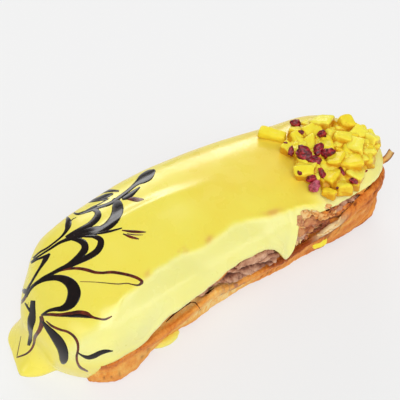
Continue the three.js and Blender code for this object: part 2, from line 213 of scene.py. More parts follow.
def new_piece(name, points, faces, material, values=None):
    """A piece from points in millimetres, with smooth faces and named values on its points."""
    mesh = bpy.data.meshes.new(name)
    mesh.from_pydata((np.asarray(points) * MM).tolist(), [], [list(face) for face in faces])
    for key, value in (values or {}).items():
        layer = mesh.attributes.new(key, "FLOAT", "POINT")
        layer.data.foreach_set("value", np.ravel(value).astype(np.float32))
    mesh.shade_smooth()
    mesh.materials.append(material)
    piece = bpy.data.objects.new(name, mesh)
    bpy.context.scene.collection.objects.link(piece)
    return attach(piece, "root")


def loft_piece(name, at, points, material, values):
    """A closed piece from rows of points round the body, joined along the spine."""
    around, across = points.shape[:2]
    index = np.arange(around * across).reshape(around, across)
    for k in range(at.count, around):
        index[k, 0] = index[around - k, 0]
        index[k, -1] = index[around - k, -1]
    after = np.roll(index, -1, 0)
    quads = np.stack([index[:, :-1], after[:, :-1], after[:, 1:], index[:, 1:]], -1).reshape(-1, 4)
    used, order = np.unique(quads, return_inverse=True)
    kept = {key: np.broadcast_to(value, index.shape).ravel()[used] for key, value in values.items()}
    return new_piece(name, points.reshape(-1, 3)[used], order.reshape(-1, 4), material, kept)


def linear(code):
    """An sRGB hex colour as linear red, green, blue and alpha."""
    parts = [int(code[k : k + 2], 16) / 255 for k in (0, 2, 4)]
    return (*[p / 12.92 if p <= 0.04045 else ((p + 0.055) / 1.055) ** 2.4 for p in parts], 1)


def new_material(name):
    """A new material and the shader of its surface."""
    material = bpy.data.materials.new(name)
    material.use_nodes = True
    return material, material.node_tree.nodes["Principled BSDF"]


def add(material, kind, inputs, stops=None, **settings):
    """Adds a node. An input is a value, or a (node, output) pair to link. Stops are a ramp's colours."""
    tree = material.node_tree
    node = kind if isinstance(kind, bpy.types.Node) else tree.nodes.new("ShaderNode" + kind)
    for key, value in settings.items():
        setattr(node, key, value)
    for key, value in inputs.items():
        if isinstance(value, tuple) and isinstance(value[0], bpy.types.Node):
            tree.links.new(value[0].outputs[value[1]], node.inputs[key])
        else:
            node.inputs[key].default_value = value
    for k, (place, code) in enumerate(stops or []):
        stop = node.color_ramp.elements[k] if k < 2 else node.color_ramp.elements.new(place)
        stop.position = place
        stop.color = linear(code)
    return node


RIM = smooth_line(
    [
        (-70, 15.6), (-18, 15.6), (-9, 16.6), (6, 14.8), (25, 14.4),
        (32, 15.6), (39, 19.2), (49, 22.6), (58, 25.6), (65, 26.5),
    ]
)
LEFT_RIM = SimpleNamespace(fades=(-45, -38), rise=0.9)
MIDDLE_RIM = SimpleNamespace(x=-13, half=8, rise=1.9)
RIGHT_RIM_RISE = smooth_line(
    [
        (18, 0), (24, 1.6), (28.5, 3.2), (33, 2.9), (36, 1.8), (39, 1.3),
        (42, 2.8), (46, 4.1), (50, 4.2), (58, 2.5), (65, 1.2),
    ]
)
RIM_BAND, RIM_ROUND = 0.5, 1.1
SPILL = SimpleNamespace(along=(-11, -1, 11, 17), rise=6.6, bulge=3.3)
APRON = SimpleNamespace(x=-3, half=8, drop=2.2, low=9.3, tooth=3.2)
LEFT_HOLLOW = (-44, -38, -27, -14)
RIGHT_HOLLOW = SimpleNamespace(x=34, half=9)
MOUSSE_RECESS, HOLLOW_RECESS = 2.8, 1.9
LEDGE = 4
LEFT_FOOT_CURVE, FOOT_CURVE, END_FOOT_CURVE = 1.0, 2.4, 4.4
FOOT_CURVE_GROWS = (-40, -5)
LEFT_FOOT = SimpleNamespace(along=(-64, -51, -45, -38), out=1.8, fades=(5, 15))
FOOT_IN = SimpleNamespace(x=-32, half=18, depth=2.0, fades=(3, 12))
END = SimpleNamespace(start=62, bulge=0.9, lean=1.8, leans=(13, 26))
CORNER_OUT = smooth_line([(53, 0), (57, 0.6), (60, 1.6), (64, 3.0), (67, 2.2), (68.3, 0.6)])
CORNER_FADES = (6, 16)
UNDER_ICING = 2.8
WALL_EDGE, CRUST_START = -57.5, -56.5
EDGE_FADES = (-2.5, 0.5)
LEFT_CORNER = [(-60.2, 0), (-59.3, 2.6), (-58.2, 6), (-57.0, 10), (-55.7, 13.8)]
BODY_PLACES, WALL_ROWS, SHELF_ROWS = 410, 66, 12

# Where along the front the mousse spills out, hangs over the rim and stands back
body = outline(BODY_PLACES, (WALL_EDGE - 3, WALL_EDGE, APRON.x - 5, APRON.x + 5))
front = body.front[:, None]
spill = body.front * between(body.x, *SPILL.along)
apron = body.front * hump(body.x, APRON.x, APRON.half)
hollow = body.front * (between(body.x, *LEFT_HOLLOW) + hump(body.x, RIGHT_HOLLOW.x, RIGHT_HOLLOW.half))
recess = (MOUSSE_RECESS + HOLLOW_RECESS * hollow)[:, None]
along_x = np.stack([body.x, 0 * body.x, 0 * body.x], -1)
rim = RIM(body.x) - APRON.drop * apron * (1 + 0.35 * lumps(along_x, APRON.tooth, 20))
crust_rim = rim + body.front * LEFT_RIM.rise * (1 - ease(body.x, *LEFT_RIM.fades))
crust_rim = crust_rim + body.front * RIGHT_RIM_RISE(body.x)
crust_rim = crust_rim + body.front * MIDDLE_RIM.rise * hump(body.x, MIDDLE_RIM.x, MIDDLE_RIM.half)

# The wall from the table up to the rim, as heights and insets from the outline
WALL = 0.5 - 0.5 * np.cos(np.linspace(0, np.pi, WALL_ROWS))
wall_z = crust_rim[:, None] * WALL
corner_x, corner_z = np.transpose(LEFT_CORNER)
crust_edge = np.where(front > 0, np.interp(wall_z, corner_z, corner_x), WALL_EDGE)
bare = ease(body.x[:, None] - crust_edge, *EDGE_FADES)
end = ease(body.x, END.start, RIGHT_END)[:, None]
foot_curve = LEFT_FOOT_CURVE + (FOOT_CURVE - LEFT_FOOT_CURVE) * ease(body.x, *FOOT_CURVE_GROWS)[:, None]
foot_curve = foot_curve + (END_FOOT_CURVE - FOOT_CURVE) * end
foot = foot_curve * (1 - np.minimum(wall_z / foot_curve, 1)) ** 2
flared = front * between(body.x, *LEFT_FOOT.along)[:, None] * (1 - ease(wall_z, *LEFT_FOOT.fades))
drawn_in = front * hump(body.x, FOOT_IN.x, FOOT_IN.half)[:, None] * (1 - ease(wall_z, *FOOT_IN.fades))
foot = foot - LEFT_FOOT.out * flared + FOOT_IN.depth * drawn_in
band = RIM_BAND * bare * np.cos(2 * np.pi * WALL) * ease(WALL, 0, 0.08)
bulge = END.bulge * end * (0.95 * np.sin(np.pi * (0.1 + 0.9 * WALL)) - 0.3 * ease(WALL, 0.7, 1))
bulge = bulge + front * CORNER_OUT(body.x)[:, None] * (1 - ease(wall_z, *CORNER_FADES))
bulge = bulge - END.lean * end * ease(wall_z, *END.leans)
near_rim = np.clip((wall_z - crust_rim[:, None]) / RIM_ROUND + 1, 0, 1)
curl_in = RIM_ROUND * (1 - np.sqrt(1 - near_rim**2))
wall_r = inset_at(body, wall_z) + UNDER_ICING * (1 - bare) + foot - band - bulge + curl_in

# The shelf inside the rim that the mousse lies on, and the rows of points from the table to the middle
shelf_end = inset_at(body, rim[:, None]) + recess + LEDGE
in_from_rim = np.linspace(0, 1, SHELF_ROWS + 1)[1:]
shelf_r = wall_r[:, -1:] + (shelf_end - wall_r[:, -1:]) * in_from_rim
shelf_z = crust_rim[:, None] + (rim - crust_rim)[:, None] * ease(in_from_rim, 0.05, 0.4)
shelf_z = shelf_z + (RIM(body.x) - rim)[:, None] * ease(in_from_rim, 0.4, 1)
floor_r = np.stack([body.reach, 0.5 * body.reach + 0.5 * wall_r[:, 0]], -1)
base_r = np.concatenate([floor_r, wall_r, shelf_r, body.reach[:, None]], 1)
base_z = np.concatenate([0 * floor_r, wall_z, shelf_z, RIM(body.spine[:, :1])], 1)
base_points = stand(body, np.stack([base_r, base_z], -1))
up_wall = np.concatenate([[0, 0], WALL, np.ones(SHELF_ROWS + 1)])
on_wall = np.concatenate([[0, 0], ease(WALL, 0, 0.04), np.linspace(1, 0.7, SHELF_ROWS), [0]])
below_shelf = np.zeros(2 + WALL_ROWS)
on_shelf = np.concatenate([below_shelf, ease(in_from_rim, 0, 0.2), [1]])

# Relief of the crust: where it is folded, cracked, wrinkled, pitted, scarred, torn or smeared with mousse.
# Each scar is given by its x, height, half length and half height.
FOLD = SimpleNamespace(x=47, z=13.7, squash=0.55, pitch=5.8, depth=0.8, sway=2.4)
FOLD_LINE = smooth_line([(16, 13.6), (36, 14.6), (42, 16), (48, 18.4), (54, 22), (60, 24.6)])
FOLD_LINE_ALONG, FOLD_LINE_WIDTH, FOLD_LINE_DEPTH = (15, 22, 54, 62), 0.9, 0.8
CRACK = SimpleNamespace(width=1.3, length=9, depth=0.5)
WRINKLE = SimpleNamespace(width=1.1, length=8, depth=0.34)
PIT = SimpleNamespace(width=2.2, depth=0.55)
SCAR_DEPTH = 0.45
SCARS = [
    (-37.3, 10.3, 1.0, 0.8), (-31.4, 10.8, 0.3, 1.2), (-30.2, 10.6, 0.3, 1.3), (-29.1, 10.9, 0.3, 1.1),
    (-26.8, 11.3, 0.4, 0.8), (-16.7, 7.9, 0.6, 2.0), (-2.4, 8.2, 0.6, 2.2), (4.8, 10.3, 0.5, 1.6),
    (8.1, 9.3, 0.4, 1.5), (18.2, 6.0, 0.45, 2.8), (39.7, 9.8, 0.45, 1.2), (42.6, 10.8, 0.5, 0.9),
    (51.2, 9.1, 2.6, 0.55), (60.8, 13.7, 0.7, 2.4), (62.2, 18.0, 0.6, 1.4), (59.3, 10.8, 1.0, 0.6),
]
TORN_RIM = SimpleNamespace(x=35, half=9, rise=0.7, proud=0.4)
SMEAR_PROUD = 0.35
LUMP_HEIGHT, LUMP_SIZE = 0.42, 13
CRUMB_HEIGHT, CRUMB_SIZE = 0.3, 2.8
GRIT_HEIGHT, GRIT_SIZE = 0.1, 0.8
tip = body.run[body.count - 1]
past = body.run[np.argmin(np.abs(body.x[: body.count] - FOLD.x))]
along = (tip - past) - np.abs(body.run - tip)
unrolled = np.stack([np.repeat(body.run[:, None], base_z.shape[1], 1), base_z, 0 * base_z], -1)
fold_run = np.hypot(along[:, None], (base_z - FOLD.z) / FOLD.squash) + FOLD.sway * lumps(base_points, 12, 3)
pleat = np.abs(np.sin(np.pi * fold_run / FOLD.pitch)) ** 0.6
folded = ease(along, -3, 9)[:, None] * ease(base_z, 1, 5) * (1 - ease(up_wall, 0.93, 1))
folded = folded * (0.75 + 0.35 * noise(base_points, 10, 22))
off_line = base_z - FOLD_LINE(body.x)[:, None] - 0.5 * noise(base_points, 5, 16)
in_fold = front * between(body.x, *FOLD_LINE_ALONG)[:, None] * np.exp(-((off_line / FOLD_LINE_WIDTH) ** 2))
in_fold = in_fold * (1 - on_shelf)
waist = between(up_wall, 0.2, 0.36, 0.62, 0.82) * (1 - folded)
sway = unrolled + np.stack([0.9 * noise(base_points, 5, 13), 0 * base_z, 0 * base_z], -1)
cracks_here = noise(sway * [1 / CRACK.width, 1 / CRACK.length, 1], 1, 5)
cracked = ease(cracks_here + 0.35 * noise(unrolled, 14, 6), 0.25, 0.75) * waist
wrinkled = noise(sway * [1 / WRINKLE.width, 1 / WRINKLE.length, 1], 1, 14) * waist
wrinkled = wrinkled * (0.35 + 0.65 * ease(noise(unrolled, 22, 15), -0.4, 0.5))
pitted = ease(noise(base_points, PIT.width, 8) + 0.5 * noise(base_points, 11, 9), 0.86, 1.05) * on_wall
scarred = np.zeros_like(base_z)
for scar_x, scar_z, half_long, half_high in SCARS:
    off = (body.x[:, None] - scar_x + 0.3 * noise(base_points, 1.4, 19)) / half_long
    scarred += np.exp(-(off**2) - ((base_z - scar_z) / half_high) ** 2) * front * on_wall
torn = front * hump(body.x, TORN_RIM.x, TORN_RIM.half)[:, None] * ease(up_wall, 0.84, 0.97)
torn = torn * (0.75 + 0.25 * noise(base_points, 2.5, 10))
torn = torn * np.concatenate([below_shelf + 1, 1 - ease(in_from_rim, 0.08, 0.25), [0]])
smear_low = APRON.low + 3.2 * lumps(base_points * [1, 0, 0], 3.0, 20) + 5 * (1 - apron)[:, None]
smeared = ease(apron, 0, 0.25)[:, None] * ease(base_z, smear_low - 0.6, smear_low + 1.4) * on_wall
smeared = smeared * (0.1 + 0.75 * ease(lumps(base_points * [1, 1, 0.45], 1.6, 7), -0.3, 0.4))
relief = LUMP_HEIGHT * lumps(base_points, LUMP_SIZE, 1) + CRUMB_HEIGHT * crumbs(base_points, CRUMB_SIZE, 2)
relief = relief + GRIT_HEIGHT * noise(base_points, GRIT_SIZE, 4) + FOLD.depth * folded * (pleat - 0.75)
relief = relief - CRACK.depth * cracked - PIT.depth * pitted - SCAR_DEPTH * scarred + TORN_RIM.proud * torn
relief = relief + SMEAR_PROUD * smeared + WRINKLE.depth * wrinkled - FOLD_LINE_DEPTH * in_fold
relief = relief + on_shelf * (0.35 * lumps(base_points, 3.5, 17) + 0.15 * noise(base_points, 1.1, 18))
relief = relief * on_wall * (0.25 + 0.75 * np.pad(bare, ((0, 0), (2, SHELF_ROWS + 1)), "edge"))
base_points = base_points + normals_of(base_points) * relief[..., None]
base_points[..., 2] += TORN_RIM.rise * torn * on_wall * (0.6 + 0.4 * noise(base_points, 1.6, 11))
base_points[..., 2] = np.maximum(base_points[..., 2], 0)

# Baked choux crust: dry, matt and faintly glossy where the egg wash browned, so the eye sees golden tan at
# the waist, orange brown at rim and foot, and dark lines in the cracks and folds. Its patches, grain and
# upright streaks have these sizes.
CRUST_PATCH, CRUST_GRAIN = 7, 0.9
CRUST_STREAK = (0.7, 0.7, 3.2)
crust, shader = new_material("baked_choux_crust")
spot = add(crust, "TexCoord", {})
patch = add(
    crust,
    "TexNoise",
    {"Vector": (spot, "Object"), "Scale": 1 / (CRUST_PATCH * MM), "Detail": 4.0, "Roughness": 0.6},
)
grain = add(crust, "TexNoise", {"Vector": (spot, "Object"), "Scale": 1 / (CRUST_GRAIN * MM), "Detail": 3.0})
upright = tuple(1 / (size * MM) for size in CRUST_STREAK)
drawn_up = add(crust, "Mapping", {"Vector": (spot, "Object"), "Scale": upright})
streaks = add(crust, "TexNoise", {"Vector": (drawn_up, 0), "Scale": 1.0, "Detail": 5.0, "Roughness": 0.62})
browning = add(crust, "Attribute", {}, attribute_name="browned")
tone = add(crust, "Math", {0: (patch, "Fac"), 1: 0.8, 2: -0.4}, operation="MULTIPLY_ADD")
tone = add(crust, "Math", {0: (tone, 0), 1: (browning, "Fac")}, operation="ADD")
tone = add(crust, "Math", {0: (grain, "Fac"), 1: 0.3, 2: (tone, 0)}, operation="MULTIPLY_ADD")
crackle = add(crust, "Attribute", {}, attribute_name="crackle")
streaky = add(crust, "Math", {0: (streaks, "Fac"), 1: 1.7, 2: -0.9}, operation="MULTIPLY_ADD")
tone = add(crust, "Math", {0: (streaky, 0), 1: (crackle, "Fac"), 2: (tone, 0)}, operation="MULTIPLY_ADD")
coloured = add(
    crust,
    "ValToRGB",
    {"Fac": (tone, 0)},
    stops=[(0.02, "f9d88e"), (1.0, "9a4616"), (0.26, "f5b95c"), (0.5, "ee9e44"), (0.76, "da7c2e")],
)
# The dark share is mostly the crust's own dark marks; on the base's inner shelf it is painted shade.
for key, colour in (("dark", "7a3a1a"), ("torn", "f0d9a4"), ("smear", "ab7560")):
    share = add(crust, "Attribute", {}, attribute_name=key)
    under = (coloured, "Color" if key == "dark" else 2)
    coloured = add(crust, "Mix", {0: (share, "Fac"), 6: under, 7: linear(colour)}, data_type="RGBA")
rough = add(crust, "Math", {0: (grain, "Fac"), 1: (streaks, "Fac")}, operation="ADD")
bump = add(crust, "Bump", {"Height": (rough, 0), "Strength": 0.7, "Distance": 0.3 * MM})
shine = add(crust, "MapRange", {"Value": (patch, "Fac"), "To Min": 0.5, "To Max": 0.8})
add(
    crust,
    shader,
    {
        "Base Color": (coloured, 2),
        "Roughness": (shine, 0),
        "Normal": (bump, "Normal"),
        "IOR": 1.45,
        "Specular IOR Level": 0.22,
    },
)

# Where the oven browned the base: rim and foot, both ends, the left corner and beside the drip
BROWN_LEFT, BROWN_RIGHT, BROWN_CORNER = (-34, -20), (30, 50), (-54, -46)
PALE_RIM = SimpleNamespace(x=-13, half=13)
BESIDE_DRIP, PALE_WAIST = (3, 12, 34, 46), (-24, -14, 26, 38)
# Painted light: the shelf inside the rim is painted paler than the rim, so it reads as lit under the lip's
# shade.
rim_brown = ease(up_wall, 0.7, 0.88) * (1 - 0.9 * on_shelf)
rim_brown = rim_brown * (1 - 0.8 * front * hump(body.x, PALE_RIM.x, PALE_RIM.half)[:, None])
rim_brown = np.minimum(rim_brown + (1 - ease(up_wall, 0.06, 0.2)), 1)
toasted_ends = (0.17 * (1 - ease(body.x, *BROWN_LEFT)) + 0.34 * ease(body.x, *BROWN_RIGHT))[:, None]
toasted_corner = front * (1 - ease(body.x, *BROWN_CORNER))[:, None]
beside_drip = front * between(body.x, *BESIDE_DRIP)[:, None] * on_wall
beside_drip = beside_drip * ease(base_z + 0.8 * lumps(base_points, 4, 21), 0.5, 4.5)
browned = 0.1 + 0.26 * rim_brown + 0.1 * lumps(base_points, 16, 12) - 0.15 * on_shelf - 0.08 * waist
browned = browned + folded * (0.16 + 0.34 * (0.62 - pleat)) + toasted_ends - 0.3 * np.minimum(wrinkled, 0.5)
browned = browned + 0.15 * toasted_corner + 0.5 * beside_drip
darkened = 0.7 * cracked + 0.9 * pitted + 0.55 * scarred + 0.14 * folded * ease(0.4 - pleat, 0, 0.4)
darkened = darkened + 0.45 * in_fold
# Painted shade: the inner shelf darkens where the mousse stands further back under the lid.
darkened = darkened + np.concatenate([below_shelf, ease(in_from_rim, 0.5, 0.8), [1]]) * hollow[:, None]
pale_waist = waist * (1 - beside_drip) * between(body.x, *PALE_WAIST)[:, None]
base_values = {
    "browned": browned,
    "dark": np.clip(darkened, 0, 1),
    "torn": np.clip(torn * 1.3, 0, 1),
    "smear": np.clip(smeared, 0, 0.9),
    "crackle": 0.35 - 0.15 * folded + 0.55 * pale_waist,
}
base = loft_piece("choux_base_crust", body, base_points, crust, base_values)
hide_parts("choux_base")

# The mousse was spread on the base before the lid went on. It is an airy, crumbly filling that stands back
# from the edge as a rough torn face, and has been pressed out over the rim at the front.
LID_EDGE = smooth_line([(-70, 21.2), (20, 21.4), (34, 23.4), (49, 25.6), (58, 27), (65, 27.6)])
CRUMB = SimpleNamespace(x=24, half=9, rise=4.6)
RAGGED = SimpleNamespace(x=38, half=20, rise=4.0)
HOLE = SimpleNamespace(x=-21.8, half=5, depth=1.8)
JOINT_GAP = 0.3
FACE_ROWS, BACK_ROWS = 44, 4
MOUSSE_LUMP = SimpleNamespace(height=0.6, size=5)
MOUSSE_CRUMB = SimpleNamespace(height=1.3, size=2.2)
MOUSSE_HOLLOW = SimpleNamespace(depth=1.6, size=2.4)
crumb = body.front * hump(body.x, CRUMB.x, CRUMB.half)
lid_low = LID_EDGE(body.x) + SPILL.rise * spill + CRUMB.rise * crumb
lid_low = lid_low + body.front * RAGGED.rise * hump(body.x, RAGGED.x, RAGGED.half)
low, high = rim + JOINT_GAP, lid_low - JOINT_GAP
FACE = np.linspace(0, 1, FACE_ROWS)
face_z = low[:, None] + (high - low)[:, None] * FACE
hole = front * hump(body.x, HOLE.x, HOLE.half)[:, None] * np.sin(np.pi * FACE)
face_r = inset_at(body, face_z) + recess - SPILL.bulge * spill[:, None] * (1 - np.abs(2 * FACE - 1) ** 5)
face_r = face_r + HOLE.depth * hole
back_in = np.linspace(1, 0, BACK_ROWS + 1)[:-1]
under_r = face_r[:, :1] + LEDGE * 2 * back_in
under_z = low[:, None] + (RIM(body.x) + JOINT_GAP - low)[:, None] * back_in
over_r = face_r[:, -1:] + LEDGE * 2 * back_in[::-1]
over_z = high[:, None] + (LID_EDGE(body.x) - JOINT_GAP - high)[:, None] * back_in[::-1]
reach = body.reach[:, None]
spine_low, spine_high = RIM(body.spine[:, :1]) + JOINT_GAP, LID_EDGE(body.spine[:, :1]) - JOINT_GAP
mousse_r = np.concatenate([reach, under_r, face_r, over_r, reach], 1)
mousse_z = np.concatenate([spine_low, under_z, face_z, over_z, spine_high], 1)
mousse_points = stand(body, np.stack([mousse_r, mousse_z], -1))
unseen = np.zeros(BACK_ROWS)
on_face = np.concatenate([unseen, [0.3], np.sin(np.pi * FACE) ** 0.5, [0.3], unseen])
slanted = mousse_points * [0.7, 1, 1.2] + [0.5, 0, 0] * mousse_points[..., 2:]
mousse_crumbs = crumbs(slanted, MOUSSE_CRUMB.size, 21, 4)
mousse_hollows = ease(lumps(slanted, MOUSSE_HOLLOW.size, 25), 0.25, 0.6)
crumbly = MOUSSE_LUMP.height * lumps(mousse_points, MOUSSE_LUMP.size, 26)
crumbly = crumbly + MOUSSE_CRUMB.height * (mousse_crumbs - 0.6) - MOUSSE_HOLLOW.depth * mousse_hollows
mousse_points = mousse_points + normals_of(mousse_points) * (crumbly * on_face)[..., None]

# Set mousse: dull, pinkish brown and porous, so the eye sees pale lumps and dark holes, the dark being
# painted shade, and browner crumb of the shell stuck to it at the right. Its pores and patches have these
# sizes.
MOUSSE_PORE, MOUSSE_PATCH = 1.1, 4
TOASTED = SimpleNamespace(x=36, half=11)
filling, shader = new_material("mousse_crumb")
spot = add(filling, "TexCoord", {})
pores = add(
    filling,
    "TexNoise",
    {"Vector": (spot, "Object"), "Scale": 1 / (MOUSSE_PORE * MM), "Detail": 5.0, "Roughness": 0.65},
)
patch = add(
    filling, "TexNoise", {"Vector": (spot, "Object"), "Scale": 1 / (MOUSSE_PATCH * MM), "Detail": 3.0}
)
painted_shade = add(filling, "Attribute", {}, attribute_name="hollow")
tone = add(filling, "Math", {0: (pores, "Fac"), 1: (patch, "Fac")}, operation="ADD")
tone = add(filling, "Math", {0: (tone, 0), 1: 0.5}, operation="MULTIPLY")
tone = add(filling, "Math", {0: (tone, 0), 1: (painted_shade, "Fac")}, operation="SUBTRACT")
colours = add(
    filling,
    "ValToRGB",
    {"Fac": (tone, 0)},
    stops=[(0.05, "5a342c"), (0.75, "e2b698"), (0.26, "986249"), (0.41, "bc886c"), (0.56, "cf9f80")],
)
toasted = add(filling, "Attribute", {}, attribute_name="toasted")
crumb_brown = add(
    filling, "Mix", {0: (toasted, "Fac"), 6: (colours, "Color"), 7: linear("b5673a")}, data_type="RGBA"
)
bump = add(filling, "Bump", {"Height": (pores, "Fac"), "Strength": 0.8, "Distance": 0.5 * MM})
add(
    filling,
    shader,
    {"Base Color": (crumb_brown, 2), "Roughness": 0.85, "Normal": (bump, "Normal"), "IOR": 1.4},
)
# Painted shade: darker in the crumb's hollows and creases and in the hole, lighter on raised crumbs, less at
# the back.
in_shade = np.clip(0.36 * mousse_hollows + 0.46 * (0.6 - mousse_crumbs), -0.3, 1) * (0.45 + 0.55 * front)
with_shell = front * hump(body.x, TOASTED.x, TOASTED.half)[:, None]
mousse_values = {
    "hollow": in_shade + 0.5 * np.pad(hole, ((0, 0), (BACK_ROWS + 1, BACK_ROWS + 1))),
    "toasted": with_shell * ease(noise(mousse_points, 3, 27), -0.6, 0.3),
}
mousse = loft_piece("mousse_filling", body, mousse_points, filling, mousse_values)
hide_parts("mousse")

# The lid is the upper half of the same shell, under the icing. It shows as a baked strip at the front, as
# torn crumb where the icing broke off beside the drip, and as a ragged brown edge to the right.
# The icing's lower edge is given as (x, height) points at the front and at the back.
TORN_EDGE = 20.6
FRONT_LIP = LEFT_CORNER + [
    (-54, 15.8), (-48, 17), (-42, 17.2), (-39.5, 18.2), (-37.5, 20.2), (-34, 22.6), (-31, 24.4),
    (-24, 25.4), (-12, 26.2), (-7, 27.2), (3, 27.6), (7, 27), (9.6, 25.4), (12, 22.4), (14.2, 18.4),
    (15.3, 17.2), (16.4, 18), (18, 23), (19.4, 28), (TORN_EDGE, 30.2), (24, 31.2), (28, 30.4), (33, 29.8),
    (50, 29.8), (68, 29.4),
]
BACK_LIP = [
    (WALL_EDGE, 16.6), (-44, 19), (-30, 22), (-22, 17.6), (-14, 22.4), (8, 24), (18, 19), (26, 24.4),
    (40, 27.5), (58, 29.2), (68, 29.4),
]
LIP_WAVE_HEIGHT, LIP_WAVE_LENGTH = 0.5, 5


def lip_line(points):
    """Height of the icing's lower edge along x: a wavy line that drops to the table at the left."""
    line, edge = smooth_line(points), points[0][0]

    def at(x):
        waves = LIP_WAVE_HEIGHT * lumps(np.stack([x, 0 * x, 0 * x], -1), LIP_WAVE_LENGTH, 31, 4)
        return (line(x) + waves * ease(x, CRUST_START, CRUST_START + 3)) * ease(x, edge - 1, edge)

    return at


front_lip, back_lip = lip_line(FRONT_LIP), lip_line(BACK_LIP)


def lip_at(at):
    """Height of the icing's lower edge at each place round the body."""
    return np.maximum(np.where(at.front > 0, front_lip(at.x), back_lip(at.x)), 0)


def form_path(at, low, shares):
    """Points on the body's outer form from a height up to the spine, at shares of the way, and their runs."""
    path = np.empty((len(at.x), len(shares), 2))
    runs = np.empty(path.shape[:2])
    for k in range(len(at.x)):
        keep = at.form_z[k] > low[k] + 0.02
        r = np.concatenate([[np.interp(low[k], at.form_z[k], at.form_r[k])], at.form_r[k][keep]])
        z = np.concatenate([[low[k]], at.form_z[k][keep]])
        run = np.concatenate([[0], np.cumsum(np.hypot(np.diff(r), np.diff(z)))])
        runs[k] = run[-1] * shares
        path[k] = np.stack([np.interp(runs[k], run, r), np.interp(runs[k], run, z)], -1)
    return path, runs


def inside(path, depth):
    """The same path moved into the body by a depth."""
    step = np.gradient(path, axis=1)
    step = step / np.maximum(np.linalg.norm(step, axis=-1, keepdims=True), 1e-9)
    step[:, -1] = (1, 0)
    return np.stack([path[..., 0] + step[..., 1] * depth, path[..., 1] - step[..., 0] * depth], -1)


SHEET = np.concatenate([np.linspace(0, 0.3, 34), np.linspace(0.3, 1, 14)[1:]])
EXPOSED_DEPTH, COVERED_DEPTH = 1.3, 2.6
SET_BACK = SimpleNamespace(along=(-44, -38, -28, -15), depth=1.0)
LID_EDGE_ROUND, LID_EDGE_RUN = 0.9, 1.4
RAGGED_START, TORN_HALF, TORN_PROUD = (18, 22), 6.5, 1.5
lid_path, lid_run = form_path(body, lid_low, SHEET)
exposed = ease(lip_at(body)[:, None] - lid_path[..., 1], -0.6, 0.8)
set_back = SET_BACK.depth * front * between(body.x, *SET_BACK.along)[:, None]
lid_skin = inside(lid_path, COVERED_DEPTH + (EXPOSED_DEPTH + set_back - COVERED_DEPTH) * exposed)
lid_skin[..., 0] += LID_EDGE_ROUND * (1 - ease(lid_run, 0, LID_EDGE_RUN)) ** 2
lid_under_r = lid_skin[:, :1, 0] + 2 * LEDGE * back_in
lid_under_z = lid_skin[:, :1, 1] + (LID_EDGE(body.x)[:, None] - lid_skin[:, :1, 1]) * back_in
lid_r = np.concatenate([reach, lid_under_r, lid_skin[..., 0]], 1)
lid_z = np.concatenate([LID_EDGE(body.spine[:, :1]), lid_under_z, lid_skin[..., 1]], 1)
lid_points = stand(body, np.stack([lid_r, lid_z], -1))
edge_in_sight = exposed[:, :1] * [0, 0, 0, 0.4, 0.8]
in_sight = np.concatenate([edge_in_sight, exposed], 1)
ragged = front * ease(body.x, *RAGGED_START)[:, None]
lid_torn = in_sight * front * hump(body.x, CRUMB.x, TORN_HALF)[:, None]
lid_relief = 0.3 * lumps(lid_points, 6, 51) + 0.12 * lumps(lid_points, 1.8, 52)
lid_relief = lid_relief + ragged * (0.8 * lumps(lid_points, 3.0, 53) + 0.2 * noise(lid_points, 0.9, 54))
lid_relief = lid_relief + TORN_PROUD * lid_torn
lid_points = lid_points + normals_of(lid_points) * (lid_relief * in_sight)[..., None]
lid_points[..., 2] += ragged * in_sight * 0.7 * lumps(lid_points * [1, 1, 0.2], 2.4, 55)
lid_values = {
    "browned": 0.36 + 0.14 * lumps(lid_points, 7, 56) + 0.1 * ragged - 0.3 * lid_torn,
    "dark": np.clip(0.8 * ease(lumps(lid_points, 2.6, 57), 0.5, 1.0) * ragged, 0, 1),
    "torn": np.clip(0.5 * lid_torn, 0, 1),
    "crackle": 0.3 + 0 * lid_torn,
}
lid = loft_piece("choux_lid_crust", body, lid_points, crust, lid_values)
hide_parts("choux_lid")

# The icing was poured over the lid warm, and set to a glossy skin. It ran down the left end onto the table,
# hangs in a drip at the front, and settled into a flat top with a soft crease along the front shoulder.
ICING_THICKNESS = 1.8
LIP_SHARE, LIP_RUN, LIP_HANG = 0.55, 4, 0.55
BEAD = SimpleNamespace(proud=0.4, up=1.2, width=1.3)
DRIP = SimpleNamespace(x=15.3, width=6.5, bulge=1.3, height=9)
FOOT_REACH = smooth_line(
    [
        (-12.5, 0), (-9.5, 0.6), (-7, 5.2), (-4, 8.4), (0, 8.4),
        (3, 8.9), (7, 11.2), (10, 10.6), (12.5, 7.4), (15, 0),
    ]
)
FOOT_FADES, FOOT_HEIGHT = (-58, -50), 12
FOOT_LIP, FOOT_LIP_ROUND = 1.8, 1.1
END_SWELL = SimpleNamespace(out=2.2, along=(-62, -54), across=(-6, 4), up=(13, 25))
LIP_SWELL = smooth_line(
    [(-37, 0), (-32, 0.5), (-28, 1.2), (-22, 1.3), (-14, 0.9), (-8, 0.5), (-2, 0.2), (6, 0)]
)
LIP_SWELL_RUN = 13
CREASE = smooth_line(
    [
        (-52, -22), (-46, -20.6), (-36, -18.2), (-29, -17), (-20, -16.6),
        (-9, -15.5), (0, -14.6), (14, -16.6), (30, -19.2),
    ]
)
CREASE_ALONG = (-50, -42, 24, 34)
CREASE_HEIGHT, CREASE_WIDTH, CREASE_WAVE = 0.3, 1.1, 0.7
SHOULDER_FLAT, SHOULDER_WIDTH = 0.5, 6.5
STREAK = SimpleNamespace(x=-25, half=34, y=4.6, width=2.6, height=1.0, arch=0.004, arch_x=-14)
SKIN_PLACES, ICING_ROWS, LIP_STEP = 450, 90, -38.5
INNER = [0, 4, 9, 15, 22, 30, 40, 52, 64, 76, ICING_ROWS - 1]

